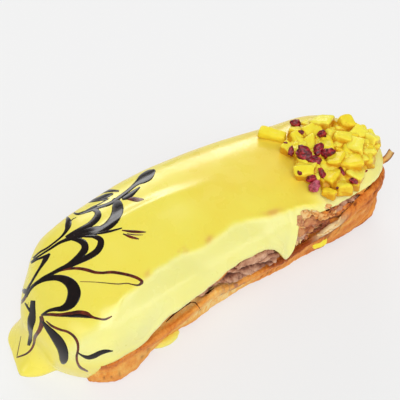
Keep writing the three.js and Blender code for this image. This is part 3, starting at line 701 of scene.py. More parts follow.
# The skin from its lip up to the middle, swollen where the icing ran and hangs
fine_places = (WALL_EDGE - 3, WALL_EDGE - 0.5, LIP_STEP, DRIP.x - 2, DRIP.x + 2, TORN_EDGE - 1)
skin = outline(SKIN_PLACES, fine_places)
lip = lip_at(skin)
path, from_lip = form_path(skin, lip, np.linspace(0, 1, ICING_ROWS) ** 1.15)
inner = inside(path, ICING_THICKNESS * (LIP_SHARE + (1 - LIP_SHARE) * ease(from_lip, 0, LIP_RUN)))
inner[..., 1] = np.maximum(inner[..., 1], 0)
grounded = (lip <= 0.01)[:, None]
spread_out = (FOOT_REACH(skin.edge[:, 1]) * (1 - ease(skin.x, *FOOT_FADES)))[:, None]
at_table = (1 - np.clip(path[..., 1] / FOOT_HEIGHT, 0, 1)) ** 1.6
swollen = END_SWELL.out * (1 - ease(skin.x, *END_SWELL.along)) * ease(skin.edge[:, 1], *END_SWELL.across)
swollen = swollen[:, None] * (1 - ease(path[..., 1], *END_SWELL.up))
swollen = swollen + (LIP_SWELL(skin.x) * skin.front)[:, None] * (1 - ease(from_lip, 0, LIP_SWELL_RUN))
at_lip = 1 - ease(path[..., 1], lip[:, None], lip[:, None] + DRIP.height)
drop = (DRIP.bulge * skin.front * hump(skin.x, DRIP.x, DRIP.width))[:, None]
bead = BEAD.proud * np.exp(-(((from_lip - BEAD.up) / BEAD.width) ** 2))
bead = bead * ease(skin.x, WALL_EDGE, WALL_EDGE + 6)[:, None]
rounded_foot = FOOT_LIP_ROUND * (1 - np.minimum(path[..., 1] / FOOT_LIP, 1)) ** 2 * grounded
outer = path.copy()
outer[..., 0] -= spread_out * at_table + swollen + drop * at_lip + bead - rounded_foot
lip_turn = np.linspace(0, np.pi, 8)[1:-1]
lip_middle = (inner[:, :1] + outer[:, :1]) / 2
lip_half = (outer[:, :1] - inner[:, :1]) / 2
lip_ring = lip_middle + lip_half * -np.cos(lip_turn)[None, :, None]
lip_ring[..., 1] -= np.where(grounded, 0, LIP_HANG) * np.sin(lip_turn)
lip_ring[..., 1] = np.maximum(lip_ring[..., 1], 0)
icing_rows = np.concatenate([inner[:, INNER[::-1]], lip_ring, outer], 1)
icing_points = stand(skin, icing_rows)
outside = slice(len(INNER) + len(lip_turn), None)
top = icing_points[:, outside]

# The crease along the shoulder, the raised streak along the top and small ripples
past_crease = CREASE(top[..., 0]) + CREASE_WAVE * lumps(top * [1, 0.3, 0.3], 6, 32) - top[..., 1]
on_front = skin.front[:, None] * between(top[..., 0], *CREASE_ALONG)
crease = CREASE_HEIGHT * np.exp(-((past_crease / CREASE_WIDTH) ** 2))
crease = crease - SHOULDER_FLAT * np.sin(np.pi * np.clip(past_crease / SHOULDER_WIDTH, 0, 1))
streak = STREAK.height * hump(top[..., 0], STREAK.x, STREAK.half)
off_streak = top[..., 1] - STREAK.y + STREAK.arch * (top[..., 0] - STREAK.arch_x) ** 2
settled = on_front * crease + streak * np.exp(-((off_streak / STREAK.width) ** 2))
ripple = 0.16 * noise(top, 17, 33) + 0.07 * noise(top, 8, 34)
swell = (settled + ripple * ease(from_lip, 0.5, 5) * ease(top[..., 2], 2, 8))[..., None]
icing_points[:, outside] = top + normals_of(icing_points)[:, outside] * swell
for _ in range(2):
    smooth = icing_points[:, outside]
    around = (np.roll(smooth, 1, 0) + np.roll(smooth, -1, 0)) / 2
    up_down = smooth[:, 2:] + smooth[:, :-2]
    smooth[:, 1:-1] = 0.5 * smooth[:, 1:-1] + 0.25 * around[:, 1:-1] + 0.125 * up_down
icing_points[..., 2] = np.maximum(icing_points[..., 2], 0)

# Poured fondant icing: opaque sugar with a wet gloss that has set. The eye sees deep yellow on the level top,
# paler lemon over the shoulder, painted in as the front light's reflection, a faint pinkish line of painted
# shade along the crease, and soft white highlights. Its clouds of colour and of gloss have these sizes.
ICING_CLOUD, ICING_GLOSS = 22, 9
icing_sugar, shader = new_material("poured_fondant_icing")
spot = add(icing_sugar, "TexCoord", {})
cloud = add(
    icing_sugar, "TexNoise", {"Vector": (spot, "Object"), "Scale": 1 / (ICING_CLOUD * MM), "Detail": 2.0}
)
thin = add(icing_sugar, "Attribute", {}, attribute_name="thin")
tone = add(icing_sugar, "Math", {0: (cloud, "Fac"), 1: 0.5, 2: -0.25}, operation="MULTIPLY_ADD")
tone = add(icing_sugar, "Math", {0: (tone, 0), 1: (thin, "Fac")}, operation="ADD")
colours = add(
    icing_sugar,
    "ValToRGB",
    {"Fac": (tone, 0)},
    stops=[(0.0, "f2d440"), (1.0, "f1ee98"), (0.3, "f4e557"), (0.55, "f5ea68")],
)
blush = add(icing_sugar, "Attribute", {}, attribute_name="blush")
with_crease_shade = add(
    icing_sugar, "Mix", {0: (blush, "Fac"), 6: (colours, "Color"), 7: linear("dc9a58")}, data_type="RGBA"
)
set_skin = add(
    icing_sugar, "TexNoise", {"Vector": (spot, "Object"), "Scale": 1 / (ICING_GLOSS * MM), "Detail": 3.0}
)
gloss = add(
    icing_sugar,
    "MapRange",
    {"Value": (set_skin, "Fac"), "From Min": 0.35, "From Max": 0.65, "To Min": 0.21, "To Max": 0.4},
)
add(
    icing_sugar,
    shader,
    {
        "Base Color": (with_crease_shade, 2),
        "Roughness": (gloss, 0),
        "IOR": 1.46,
        "Subsurface Weight": 0.12,
        "Subsurface Radius": (1.0, 0.8, 0.25),
        "Subsurface Scale": 1.5 * MM,
        "Coat Weight": 0.15,
        "Coat Roughness": 0.12,
    },
)

# Where a pinkish line of painted shade runs along the crease, and where the icing is painted paler: over
# the shoulder as the front light's reflection, less so toward the fruit, and least on the back, in painted
# shade
CREASE_SHADE_SPOTS = [(-10.7, 1.6), (13.0, 3.0)]
CREASE_SHADE_WIDTH = 0.9
TOWARD_FRUIT = (-20, 30)
# Painted shade: a pinkish line along the crease, in patches and two stronger spots.
patches = 0.7 * ease(noise(top * [1, 0, 0], 3.5, 35) + 0.4 * noise(top, 1.2, 37), 0.25, 0.8)
patches = patches + sum(np.exp(-(((top[..., 0] - x) / wide) ** 2)) for x, wide in CREASE_SHADE_SPOTS)
crease_shade_share = np.zeros(icing_points.shape[:2])
crease_shade_share[:, outside] = on_front * patches * np.exp(-(((past_crease + 0.4) / CREASE_SHADE_WIDTH) ** 2))
facing = normals_of(icing_points)
# Painted light: faces turned to the front, and the facet past the crease, are painted pale as a reflection.
over_shoulder = ease(-facing[..., 1], 0.25, 0.6) * ease(icing_points[..., 2], 10, 22)
over_shoulder[:, outside] *= 1 - on_front
blotch = 1.3 * lumps(top, 9, 38, 4) * (1 - 0.6 * ease(top[..., 0], -30, -5))
over_shoulder[:, outside] += on_front * ease(past_crease + blotch, -0.8, 1.6)
toward_fruit = ease(icing_points[..., 0], *TOWARD_FRUIT)
paleness_by_light = 0.3 - 0.16 * toward_fruit * (1 - over_shoulder) + 0.62 * over_shoulder
# Painted shade: faces turned to the back are painted a deeper gold.
paleness_by_light = paleness_by_light + 0.06 * lumps(icing_points, 12, 36) - 0.3 * ease(facing[..., 1], 0.45, 0.8)
icing_values = {"thin": paleness_by_light, "blush": np.clip(0.65 * crease_shade_share, 0, 0.6)}
icing = loft_piece("poured_icing", skin, icing_points, icing_sugar, icing_values)
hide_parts("icing")

# A little icing dripped off the front while it was warm, and set on the table against the foot of the base.
# It is a flat, rounded drop of the same fondant. Its section is given as shares of its width and height.
PUDDLE = SimpleNamespace(x=-29.6, y=-17.7, length=11, width=5.0, height=2.1, thin=0.55)
PUDDLE_SECTION = [
    (0.97, 0.0), (1.0, 0.18), (0.99, 0.4), (0.94, 0.62), (0.84, 0.8), (0.66, 0.92), (0.4, 0.98),
    (0.15, 1.0),
]


def ring_piece(name, groups, material, values=None):
    """A piece from groups of closed rings, each joined ring to ring and capped at both ends."""
    points, faces = [], []
    for rings in groups:
        count, around = rings.shape[:2]
        first = len(points)
        points.extend(rings.reshape(-1, 3))
        points.extend([rings[0].mean(0), rings[-1].mean(0)])
        for i, j in itertools.product(range(count - 1), range(around)):
            low, turn = first + i * around, (j + 1) % around
            faces.append((low + j, low + turn, low + around + turn, low + around + j))
        cap, last = first + count * around, first + (count - 1) * around
        for j in range(around):
            turn = (j + 1) % around
            faces.append((cap, first + turn, first + j))
            faces.append((cap + 1, last + j, last + turn))
    return new_piece(name, points, faces, material, values)


turns = np.linspace(0, 2 * np.pi, 72, endpoint=False)
round_trip = np.stack([np.cos(turns), np.sin(turns), 0 * turns], -1)
uneven = 1 + 0.16 * noise(round_trip, 0.9, 61) + 0.05 * noise(round_trip, 0.35, 62)
puddle_rings = np.stack(
    [
        round_trip * [PUDDLE.length / 2, PUDDLE.width / 2, 0] * (uneven * share)[:, None]
        + [PUDDLE.x, PUDDLE.y, PUDDLE.height * rise]
        for share, rise in PUDDLE_SECTION
    ]
)
puddle_count = puddle_rings.shape[0] * puddle_rings.shape[1] + 2
puddle = ring_piece("icing_drop", [puddle_rings], icing_sugar, {"thin": np.full(puddle_count, PUDDLE.thin)})
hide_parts("icing_puddle")

# Melted chocolate was piped across the left end while the icing was wet, then drawn through with a point, so
# its lines are feathered into hooks and tails that lie flush in the icing.
# Each is traced in the photo as (across, down) pixels with its width in millimetres, and laid on the icing.
PHOTO_SIZE = 400
PHOTO_CENTRE = (200, 246.5)
PHOTO_LENS, SENSOR = 68.0, 36
PHOTO_TARGET = Vector((-5.72, -3.18, 18))
PHOTO_BACK = Vector((-0.36589, -0.55369, 0.74803)).normalized()
PHOTO_DISTANCE = 251.68
photo_place = PHOTO_TARGET + PHOTO_BACK * PHOTO_DISTANCE
photo_right = Vector((0, 0, 1)).cross(PHOTO_BACK).normalized()
photo_up = PHOTO_BACK.cross(photo_right)
STROKES = {
    "top_drop": [
        (155, 170, 0.8), (149, 174.5, 3.3), (143, 178.5, 3.2), (137, 183, 1.6), (129, 190, 1.1),
        (120, 197, 1.2), (111, 203, 1.2), (98, 207.5, 1.0), (85, 212, 0.9), (77, 214, 0.7), (71, 212, 0.5),
        (66, 216, 0.6),
    ],
    "leaf_under_drop": [(140, 187, 0.4), (134, 192, 1.3), (128, 196.5, 1.7), (122, 199, 0.8)],
    "edge_line": [
        (119, 191, 0.6), (110, 190.7, 0.9), (103, 192, 0.8), (96, 195.5, 0.8), (88, 200, 0.9),
        (80, 204.5, 0.6),
    ],
    "edge_leaf": [(113, 193.5, 0.6), (106, 196, 1.4), (98, 198.5, 0.9), (90, 200.5, 0.5)],
    "edge_tail": [(108, 199, 0.6), (98, 200.5, 0.6), (86, 202.5, 0.5)],
    "first_hook": [
        (113, 199, 1.2), (117, 204, 3.2), (117.5, 211, 3.5), (114, 219.5, 3.2), (106, 227, 2.6),
        (97, 231, 2.2), (88, 233.5, 1.8), (78, 236, 1.6), (70, 238.5, 1.3), (60, 242.5, 0.9),
        (50, 249, 0.7), (42, 254, 0.6), (36, 258, 0.6), (31, 262.5, 0.7),
    ],
    "first_hook_inside": [
        (91, 209.5, 0.6), (96.5, 211, 1.7), (98, 215, 2.2), (95.5, 219.5, 2.1), (90, 224.5, 1.8),
        (82, 229, 1.7), (74, 233.5, 1.7), (66, 238, 1.3),
    ],
    "first_hook_middle": [(104, 228, 1.6), (94, 229.5, 1.9), (84, 231.5, 1.9), (74, 235, 1.6)],
    "left_hook": [
        (66, 216, 0.6), (68.5, 221, 1.8), (68, 225.5, 1.9), (66.5, 230, 1.2), (62, 236, 0.7),
        (55, 242, 0.6), (47, 248, 0.6), (40, 252, 0.6), (33, 258, 0.5),
    ],
    "second_line": [(92, 234, 0.6), (104, 232.5, 0.8), (113, 230.5, 0.7), (122, 228, 0.4)],
    "second_hook": [
        (84, 236.5, 0.6), (94, 236.5, 1.3), (100.5, 240, 1.9), (100.5, 245, 2.1), (97, 251, 2.0),
        (90, 256, 1.9), (82, 260, 1.7), (73, 264, 1.6), (62, 268.5, 1.4), (52, 273.5, 1.1),
        (42, 278.5, 0.8), (33, 286, 0.6),
    ],
    "second_hook_inside": [
        (70, 238.5, 0.9), (78, 240, 1.6), (84, 243.5, 2.2), (85, 248.5, 2.3), (81, 254.5, 2.1),
        (75, 260, 1.7), (68, 265, 1.3), (60, 269, 1.0),
    ],
    "v_stroke": [
        (50, 253.5, 0.5), (48, 255.5, 1.2), (45.5, 259, 1.5), (42.5, 264, 1.1), (39, 269.5, 0.8),
        (35, 276, 0.8), (31, 283, 0.7), (27, 290, 0.7), (25, 297, 0.6),
    ],
    "v_arm": [(48, 255, 0.8), (42, 257.5, 0.8), (37, 259.5, 0.6), (31, 263, 0.6)],
    "big_hook": [
        (26, 297, 0.8), (29, 291, 0.9), (33, 286, 1.0), (40, 281.2, 1.3), (48, 278.5, 1.6),
        (57, 277.8, 1.9), (65, 279.8, 2.7), (71.5, 285, 3.6), (74.2, 292, 4.1), (72.8, 299, 3.9),
        (68.5, 305.2, 3.0), (62, 308.6, 1.9), (55, 309.3, 1.3), (48, 311, 0.9), (42, 315, 0.7),
    ],
    "end_leaf": [
        (33, 300.5, 1.5), (32.5, 307, 1.8), (32.5, 313, 2.0), (31.5, 320, 2.6), (30.5, 327, 1.9),
        (30.5, 334, 1.2), (30, 340, 1.3), (28.5, 345.5, 0.9),
    ],
    "end_wisp": [(25, 303, 0.5), (29, 309.5, 0.8), (33, 315, 0.9)],
    "end_notch": [(20, 290, 0.8), (24, 291, 1.7), (28, 293, 0.7)],
    "front_drop": [
        (42, 321, 0.7), (47.5, 328, 1.7), (53.5, 335, 2.6), (58.5, 341.5, 3.2), (62, 348, 3.2),
        (63.7, 355.5, 3.0), (63.5, 361, 2.4), (62.8, 364, 1.1),
    ],
    "front_leaf": [
        (77, 352, 0.4), (82, 355.5, 0.7), (88, 357.5, 1.3), (94, 356, 1.6), (100, 353, 1.5),
        (106, 351.3, 1.2), (113, 351, 0.3),
    ],
    "feather_core": [(60, 316, 0.3), (72, 315.8, 1.0), (81, 315.6, 1.3), (90, 317.3, 0.5)],
}
BROWN_STROKES = {
    "leaf_tip": [(123, 198, 0.4), (131, 198.7, 1.3), (137, 199.6, 1.5), (144, 199.2, 0.3)],
    "second_tips": [(122, 230.3, 0.4), (132, 231.5, 0.9), (140, 231.9, 0.8), (146, 232, 0.3)],
    "second_tips_low": [(123, 233.8, 0.4), (131, 237, 0.9), (139, 239, 0.4)],
    "second_tips_faint": [(127, 233.7, 0.3), (135, 234.8, 0.4), (143, 234.9, 0.2)],
    "long_loop": [
        (48, 276, 0.5), (60, 270.7, 0.7), (72, 268.4, 0.9), (80, 268.6, 1.0), (88, 270.2, 1.1),
        (95, 272.3, 1.0), (102, 272.8, 0.9), (112, 272.2, 1.0), (122, 273.6, 1.0), (132, 276, 1.0),
        (139, 279, 1.0), (142, 282, 1.1), (139, 285, 0.7), (133, 284.6, 0.45), (128, 283.4, 0.35),
        (118, 284, 0.35), (106, 283, 0.3), (94, 282, 0.25), (80, 281.6, 0.2),
    ],
    "feather": [
        (41, 315, 0.5), (50, 314.5, 1.0), (60, 315, 1.2), (70, 314.3, 1.7), (80, 313.8, 2.3),
        (87, 315, 2.1), (92, 317, 1.0), (98, 318.6, 0.7), (105, 319.4, 0.7), (109, 317.8, 0.6),
        (112, 316, 0.3),
    ],
    "swoosh": [
        (41, 316, 1.2), (42, 322, 1.6), (39.5, 330, 1.4), (35, 337, 1.1), (34, 343, 0.8), (31.5, 349, 0.7),
        (27, 353.3, 0.6), (21, 356, 0.55), (16.5, 357.3, 0.4),
    ],
    "end_line": [(21, 336, 0.15), (19, 346, 0.25), (17, 356, 0.25)],
    "end_edge": [(19.5, 304.5, 0.7), (23, 300.5, 1.0), (27, 294, 0.9)],
    "front_line": [
        (46, 321, 0.4), (52, 326, 0.8), (60, 329.6, 0.8), (68, 332, 0.8), (74, 336.5, 0.9),
        (77.6, 343, 0.9), (78, 350, 0.8), (76.6, 357, 0.8), (78, 364, 0.8), (81, 368, 0.9),
        (84, 369.6, 0.8), (88, 371.6, 0.5),
    ],
}
STROKE_LIFT, TAIL_LIFT, STROKE_SINK = 0.1, 0.07, 0.12
STROKE_STEP, STROKE_LEAST = 0.35, 0.05
PIXELS_PER_MM = 3.35
ribbon_across = np.linspace(-1, 1, 9)


def tree_of(*pieces):
    """The faces of some pieces, to find where a line of sight meets them."""
    points, faces = [], []
    for piece in pieces:
        faces += [[len(points) + k for k in face.vertices] for face in piece.data.polygons]
        points += [vertex.co / MM for vertex in piece.data.vertices]
    return BVHTree.FromPolygons(points, faces)


def seen_on(tree, across, down):
    """The point of some pieces that shows at a pixel of the photo, or the nearest one past their outline."""
    scale = SENSOR / PHOTO_LENS / PHOTO_SIZE
    aside = photo_right * float(scale * (across - PHOTO_CENTRE[0]))
    upward = photo_up * float(scale * (PHOTO_CENTRE[1] - down))
    sight = (aside + upward - PHOTO_BACK).normalized()
    spot, normal = tree.ray_cast(photo_place, sight)[:2]
    if spot is None:
        far = 0.9 * PHOTO_DISTANCE
        for _ in range(4):
            spot, normal = tree.find_nearest(photo_place + sight * far)[:2]
            far = sight.dot(spot - photo_place)
    return spot, normal


def ribbon(tree, traced, lift):
    """Rings of a thin ribbon on what shows in the photo along a traced line."""
    traced = np.array(traced, float)
    run = np.concatenate([[0], np.cumsum(np.linalg.norm(np.diff(traced[:, :2], axis=0), axis=-1))])
    even = np.linspace(0, run[-1], max(8, int(run[-1] / PIXELS_PER_MM / STROKE_STEP)))
    line = np.stack([smooth_line(np.stack([run, value], -1))(even) for value in traced.T], -1)
    ahead = np.gradient(line[:, :2], axis=0)
    ahead = ahead / np.linalg.norm(ahead, axis=-1, keepdims=True)
    half = np.maximum(line[:, 2:], STROKE_LEAST) / 2 * PIXELS_PER_MM
    aside = np.stack([ahead[:, 1], -ahead[:, 0]], -1) * half
    rise = [lift * math.sqrt(1 - 0.98 * share**2) - 0.02 for share in ribbon_across]
    rings = []
    for place, side in zip(line[:, :2], aside):
        seen = [seen_on(tree, *(place + side * share)) for share in ribbon_across]
        upper = [spot + normal * up for (spot, normal), up in zip(seen, rise)]
        rings.append(upper + [spot - normal * STROKE_SINK for spot, normal in seen[::-1]])
    return np.array(rings)


# Set dark chocolate: near black and glossy where it lies thick, so the eye sees ink-dark lines with small
# glints. Its streaks have this size.
CHOCOLATE_STREAK = 3
chocolate, shader = new_material("feathered_chocolate")
spot = add(chocolate, "TexCoord", {})
drawn = add(
    chocolate,
    "TexNoise",
    {"Vector": (spot, "Object"), "Scale": 1 / (CHOCOLATE_STREAK * MM), "Detail": 3.0, "Distortion": 1.0},
)
colours = add(chocolate, "ValToRGB", {"Fac": (drawn, "Fac")}, stops=[(0.35, "0e0a0a"), (0.75, "241512")])
shine = add(chocolate, "MapRange", {"Value": (drawn, "Fac"), "To Min": 0.1, "To Max": 0.26})
add(
    chocolate,
    shader,
    {"Base Color": (colours, "Color"), "Roughness": (shine, 0), "IOR": 1.46, "Specular IOR Level": 0.32},
)

# Thinned chocolate: drawn out into the wet icing, so the eye sees thin reddish brown tails. Its streaks have
# this size.
TAIL_STREAK = 2.5
thinned, shader = new_material("thinned_chocolate")
spot = add(thinned, "TexCoord", {})
drawn = add(
    thinned,
    "TexNoise",
    {"Vector": (spot, "Object"), "Scale": 1 / (TAIL_STREAK * MM), "Detail": 3.0, "Distortion": 1.0},
)
colours = add(
    thinned, "ValToRGB", {"Fac": (drawn, "Fac")}, stops=[(0.32, "2e100a"), (0.72, "7c3014"), (0.5, "521b0c")]
)
add(thinned, shader, {"Base Color": (colours, "Color"), "Roughness": 0.22, "IOR": 1.44})
icing_tree = tree_of(icing)
black_rings = [ribbon(icing_tree, traced, STROKE_LIFT) for traced in STROKES.values()]
black_lines = ring_piece("chocolate_lines", black_rings, chocolate)
brown_rings = [ribbon(icing_tree, traced, TAIL_LIFT) for traced in BROWN_STROKES.values()]
brown_lines = ring_piece("chocolate_tails", brown_rings, thinned)

# The fruit is a heap of soft mango dice on the right end, pressed into the wet icing. The dice are cut by
# hand, so no two are alike, and they lie turned every way.
# The large dice that stand out are given by place, length, width, height, turn and tilt in degrees.
HEAP = SimpleNamespace(x=47, y=-6, length=32, width=26, spread=1.1)
CHUNKS = [
    (50, 5.1, 39.4, 6.4, 6.0, 4.8, 20, 8), (56.2, -0.2, 39.2, 5.4, 4.6, 6.0, -15, 12),
    (52.2, -10, 38.6, 7.2, 6.0, 5.2, 35, -6), (59.4, -10.2, 37.0, 5.4, 5.0, 6.4, 10, 24),
    (39.6, 1.7, 37.6, 6.4, 4.8, 3.8, -30, 0), (46.2, -14.2, 37.4, 7.4, 6.4, 4.4, -28, -6),
    (44, -4.4, 37.8, 6.4, 5.6, 4.6, 50, 6), (50.6, -4.7, 38.8, 5.8, 5.0, 5.6, -40, 10),
    (57.6, -5.5, 38.0, 6.0, 5.4, 5.2, 0, -12), (45.6, -18.4, 35.6, 6.0, 5.0, 4.4, 25, 10),
    (37.3, -15.2, 36.8, 6.0, 5.4, 4.0, 15, 0), (33.5, -19.5, 34.9, 2.8, 5.0, 3.4, 30, 0),
    (38.5, -20.0, 34.9, 5.2, 4.6, 4.0, -10, 10), (54.6, -13.0, 37.2, 5.4, 4.6, 4.2, -20, 8),
    (44.9, 3.6, 38.4, 5.6, 5.2, 4.8, 0, -8), (41.9, -11.5, 38.2, 6.0, 5.4, 4.6, 40, 6),
]
HEAP_RIM = [
    (39.8, 10), (43, 10), (46.2, 9), (49, 7.4), (53, 4.6), (57.8, 1), (61.5, -2.3), (62.6, -7.8),
    (60, -11.4), (56, -14), (50.5, -16.8), (43.5, -20.2), (39.5, -20.5), (32.8, -21), (30.5, -15.5),
    (30.3, -8.1), (33.5, -4), (33, 2), (36, 7),
]
DICE_COUNT, DICE_SINK = 120, 0.7
DICE_LONG, DICE_WIDE, DICE_HIGH = (3.6, 5.8), (3.2, 4.8), (3.0, 4.6)
DICE_ROUND = 0.95
DICE_LEAN, CHUNK_ROLL = 0.4, 0.15
BLOCK_BULGE = SimpleNamespace(height=0.34, size=2.8)
BLOCK_GRAIN = SimpleNamespace(height=0.07, size=0.6)
SHADE_RAYS, SHADE_START, SHADE_REACH = 9, 0.25, 5
GOLDEN_TURN = math.pi * (3 - math.sqrt(5))


def block_grid(cuts):
    """Points and faces of a cube from -1 to 1 with each side cut into squares."""
    shell = bmesh.new()
    bmesh.ops.create_cube(shell, size=2)
    bmesh.ops.subdivide_edges(shell, edges=shell.edges[:], cuts=cuts, use_grid_fill=True)
    shell.verts.ensure_lookup_table()
    points = np.array([vertex.co[:] for vertex in shell.verts])
    faces = np.array([[vertex.index for vertex in face.verts] for face in shell.faces])
    shell.free()
    return points, faces


block_points, block_faces = block_grid(8)


def fruit_block(size, rounding, seed, uneven_cut=0.3):
    """A hand-cut block of fruit with soft edges, round its own middle."""
    half = np.array(size) / 2
    rounding = min(rounding, 0.8 * half.min())
    rough = block_points * half
    core = np.clip(rough, rounding - half, half - rounding)
    away = rough - core
    points = core + rounding * away / np.maximum(np.linalg.norm(away, axis=-1, keepdims=True), 1e-9)
    lean = np.random.default_rng(seed).uniform(-uneven_cut, uneven_cut, 4)
    points[:, 0] *= 1 + lean[0] * points[:, 2] / half[2]
    points[:, 1] *= 1 + lean[1] * points[:, 0] / half[0]
    points[:, 0] += lean[2] * points[:, 1]
    points[:, 2] *= 1 + lean[3] * points[:, 1] / half[1]
    bulges = BLOCK_BULGE.height * lumps(points, BLOCK_BULGE.size, 71 + seed, 3)
    bulges = bulges + BLOCK_GRAIN.height * noise(points, BLOCK_GRAIN.size, 72 + seed)
    return points + points / np.linalg.norm(points, axis=-1, keepdims=True) * bulges[:, None]


def turned(points, turn, tilt, roll):
    """Points rolled about x, then tilted about y, then turned about z, in radians."""
    matrix = Matrix.Rotation(turn, 3, "Z") @ Matrix.Rotation(tilt, 3, "Y") @ Matrix.Rotation(roll, 3, "X")
    return points @ np.array(matrix).T


def within(x, y, rim):
    """Whether a point of the plan lies inside a rim."""
    inside_rim = False
    for (ax, ay), (bx, by) in zip(rim, rim[1:] + rim[:1]):
        if (ay > y) != (by > y) and x < ax + (y - ay) / (by - ay) * (bx - ax):
            inside_rim = not inside_rim
    return inside_rim


def copied_faces(count):
    """The faces of many copies of a block."""
    return np.concatenate([block_faces + k * len(block_points) for k in range(count)])


def merged(name, parts, material, values=None):
    """One piece from many copies of a block."""
    return new_piece(name, np.concatenate(parts), copied_faces(len(parts)), material, values)


chance = np.random.default_rng(7)
dice, dice_tone = [], []


def lay_die(place, size, turn, tilt, roll, seed):
    """Puts a die in the heap, with a tone of its own."""
    points = turned(fruit_block(size, DICE_ROUND, seed), turn, tilt, roll) + place
    dice.append(points)
    dice_tone.append(np.full(len(points), chance.uniform(0, 1)))


for k, (x, y, z, long, wide, high, turn, tilt) in enumerate(CHUNKS):
    roll = chance.uniform(-CHUNK_ROLL, CHUNK_ROLL)
    lay_die([x, y, z], (long, wide, high), math.radians(turn), math.radians(tilt), roll, k)
for k in range(DICE_COUNT):
    far, angle = math.sqrt((k + 0.5) / DICE_COUNT), k * GOLDEN_TURN
    x = HEAP.x + far * HEAP.spread * HEAP.length / 2 * math.cos(angle)
    y = HEAP.y + far * HEAP.spread * HEAP.width / 2 * math.sin(angle)
    size = [chance.uniform(*DICE_LONG), chance.uniform(*DICE_WIDE), chance.uniform(*DICE_HIGH)]
    turn = chance.uniform(-3.14, 3.14)
    tilt, roll = chance.uniform(-DICE_LEAN, DICE_LEAN), chance.uniform(-DICE_LEAN, DICE_LEAN)
    if within(x, y, HEAP_RIM):
        z = float(top_surface(np.array(x), np.array(y))) + size[2] / 2 - DICE_SINK
        lay_die([x, y, z], size, turn, tilt, roll, 20 + k)

# Ripe mango: soft, wet and slightly see-through, so the eye sees bright lemon faces, painted amber shade
# between the dice and small wet glints. Its fibres have this size.
MANGO_FIBRE = 1.6
mango, shader = new_material("mango_flesh")
spot = add(mango, "TexCoord", {})
fibre = add(
    mango,
    "TexNoise",
    {"Vector": (spot, "Object"), "Scale": 1 / (MANGO_FIBRE * MM), "Detail": 3.0, "Distortion": 0.6},
)
die = add(mango, "Attribute", {}, attribute_name="die")
tone = add(mango, "Math", {0: (fibre, "Fac"), 1: 0.45, 2: (die, "Fac")}, operation="MULTIPLY_ADD")
colours = add(
    mango, "ValToRGB", {"Fac": (tone, 0)}, stops=[(0.1, "f7d22a"), (1.0, "fbf364"), (0.5, "f9e73e")]
)
deep = add(mango, "Attribute", {}, attribute_name="deep")
amber_shade = add(mango, "Mix", {0: (deep, "Fac"), 6: (colours, "Color"), 7: linear("d8981a")}, data_type="RGBA")
bump = add(mango, "Bump", {"Height": (fibre, "Fac"), "Strength": 0.5, "Distance": 0.4 * MM})
add(
    mango,
    shader,
    {
        "Base Color": (amber_shade, 2),
        "Roughness": 0.3,
        "IOR": 1.4,
        "Specular IOR Level": 0.22,
        "Subsurface Weight": 0.15,
        "Subsurface Radius": (1.0, 0.9, 0.4),
        "Subsurface Scale": 0.8 * MM,
        "Normal": (bump, "Normal"),
    },
)
# Painted shade: each point's share of rays that meet other dice nearby, painted amber.
shade_rays = [turned(np.array([0, 0, 1.0]), 2.4 * k, 0.3 + 0.12 * k, 0) for k in range(SHADE_RAYS)]
dice_points = np.concatenate(dice)
dice_tree = BVHTree.FromPolygons(dice_points.tolist(), copied_faces(len(dice)).tolist())
dice_occlusion = np.zeros(len(dice_points))
for k, point in enumerate(dice_points):
    for ray in shade_rays:
        met = dice_tree.ray_cast(Vector(point + SHADE_START * ray), Vector(ray), SHADE_REACH)[0]
        dice_occlusion[k] += (1 if met else 0) / SHADE_RAYS
dice_values = {"die": 0.6 * np.concatenate(dice_tone), "deep": 0.95 * ease(dice_occlusion, 0.04, 0.6)}
heap = merged("mango_dice", dice, mango, dice_values)
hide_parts("fruit_heap")

# One longer strip of the same fruit lies apart from the heap, across the back edge of the icing. It is cut
# square and straight, and sank a little into the icing before it set.
STICK = SimpleNamespace(
    x=33.7, y=11.4, z=37.7, turn=-0.92, tilt=0.04, roll=0.1,
    length=9.8, width=3.8, height=3.6, rounding=1.0, uneven=0.06, tone=0.25,
)
stick_block = fruit_block((STICK.length, STICK.width, STICK.height), STICK.rounding, 3, STICK.uneven)
stick_points = turned(stick_block, STICK.turn, STICK.tilt, STICK.roll) + [STICK.x, STICK.y, STICK.z]
stick_values = {
    "die": np.full(len(stick_points), STICK.tone),
    # Painted shade: amber toward the strip's underside.
    "deep": 0.5 * (1 - ease(stick_points[:, 2] - STICK.z, -1.6, 0.6)),
}
stick = merged("mango_strip", [stick_points], mango, stick_values)
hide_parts("fruit_stick")

# Bits of dried berry were scattered with the fruit and stick to it and to the icing. They are crinkled, dark
# red scraps of skin, and one is paler flesh.
# Each bit is given as it shows in the photo: (across, down) pixels, length, width and slant.
BERRIES = [
    (296, 125, 4.2, 2.8, -8), (302, 132.2, 5.0, 1.8, -6), (321.5, 135.5, 3.0, 2.7, 0),
    (291, 151, 3.5, 1.7, 84), (303.5, 156, 6.0, 4.2, -42), (312, 161, 4.8, 3.2, -12),
    (318, 152, 4.6, 2.8, 62), (329, 154, 4.6, 3.4, 22), (299.5, 173, 1.7, 1.2, -30),
    (323, 175, 4.0, 1.9, -62), (342, 172, 3.7, 1.2, -62), (354.5, 180, 2.8, 1.9, -14),
    (285.5, 143, 1.2, 0.7, 0), (338, 188, 0.9, 0.8, 0), (312.5, 179, 3.2, 2.8, 40),
    (366, 171, 1.0, 0.7, 20),
]
PINK_BIT, PINK_LIFT = (316, 183.5, 3.9, 3.2, 60), 0.9
fruit_tree = tree_of(icing, heap, stick)


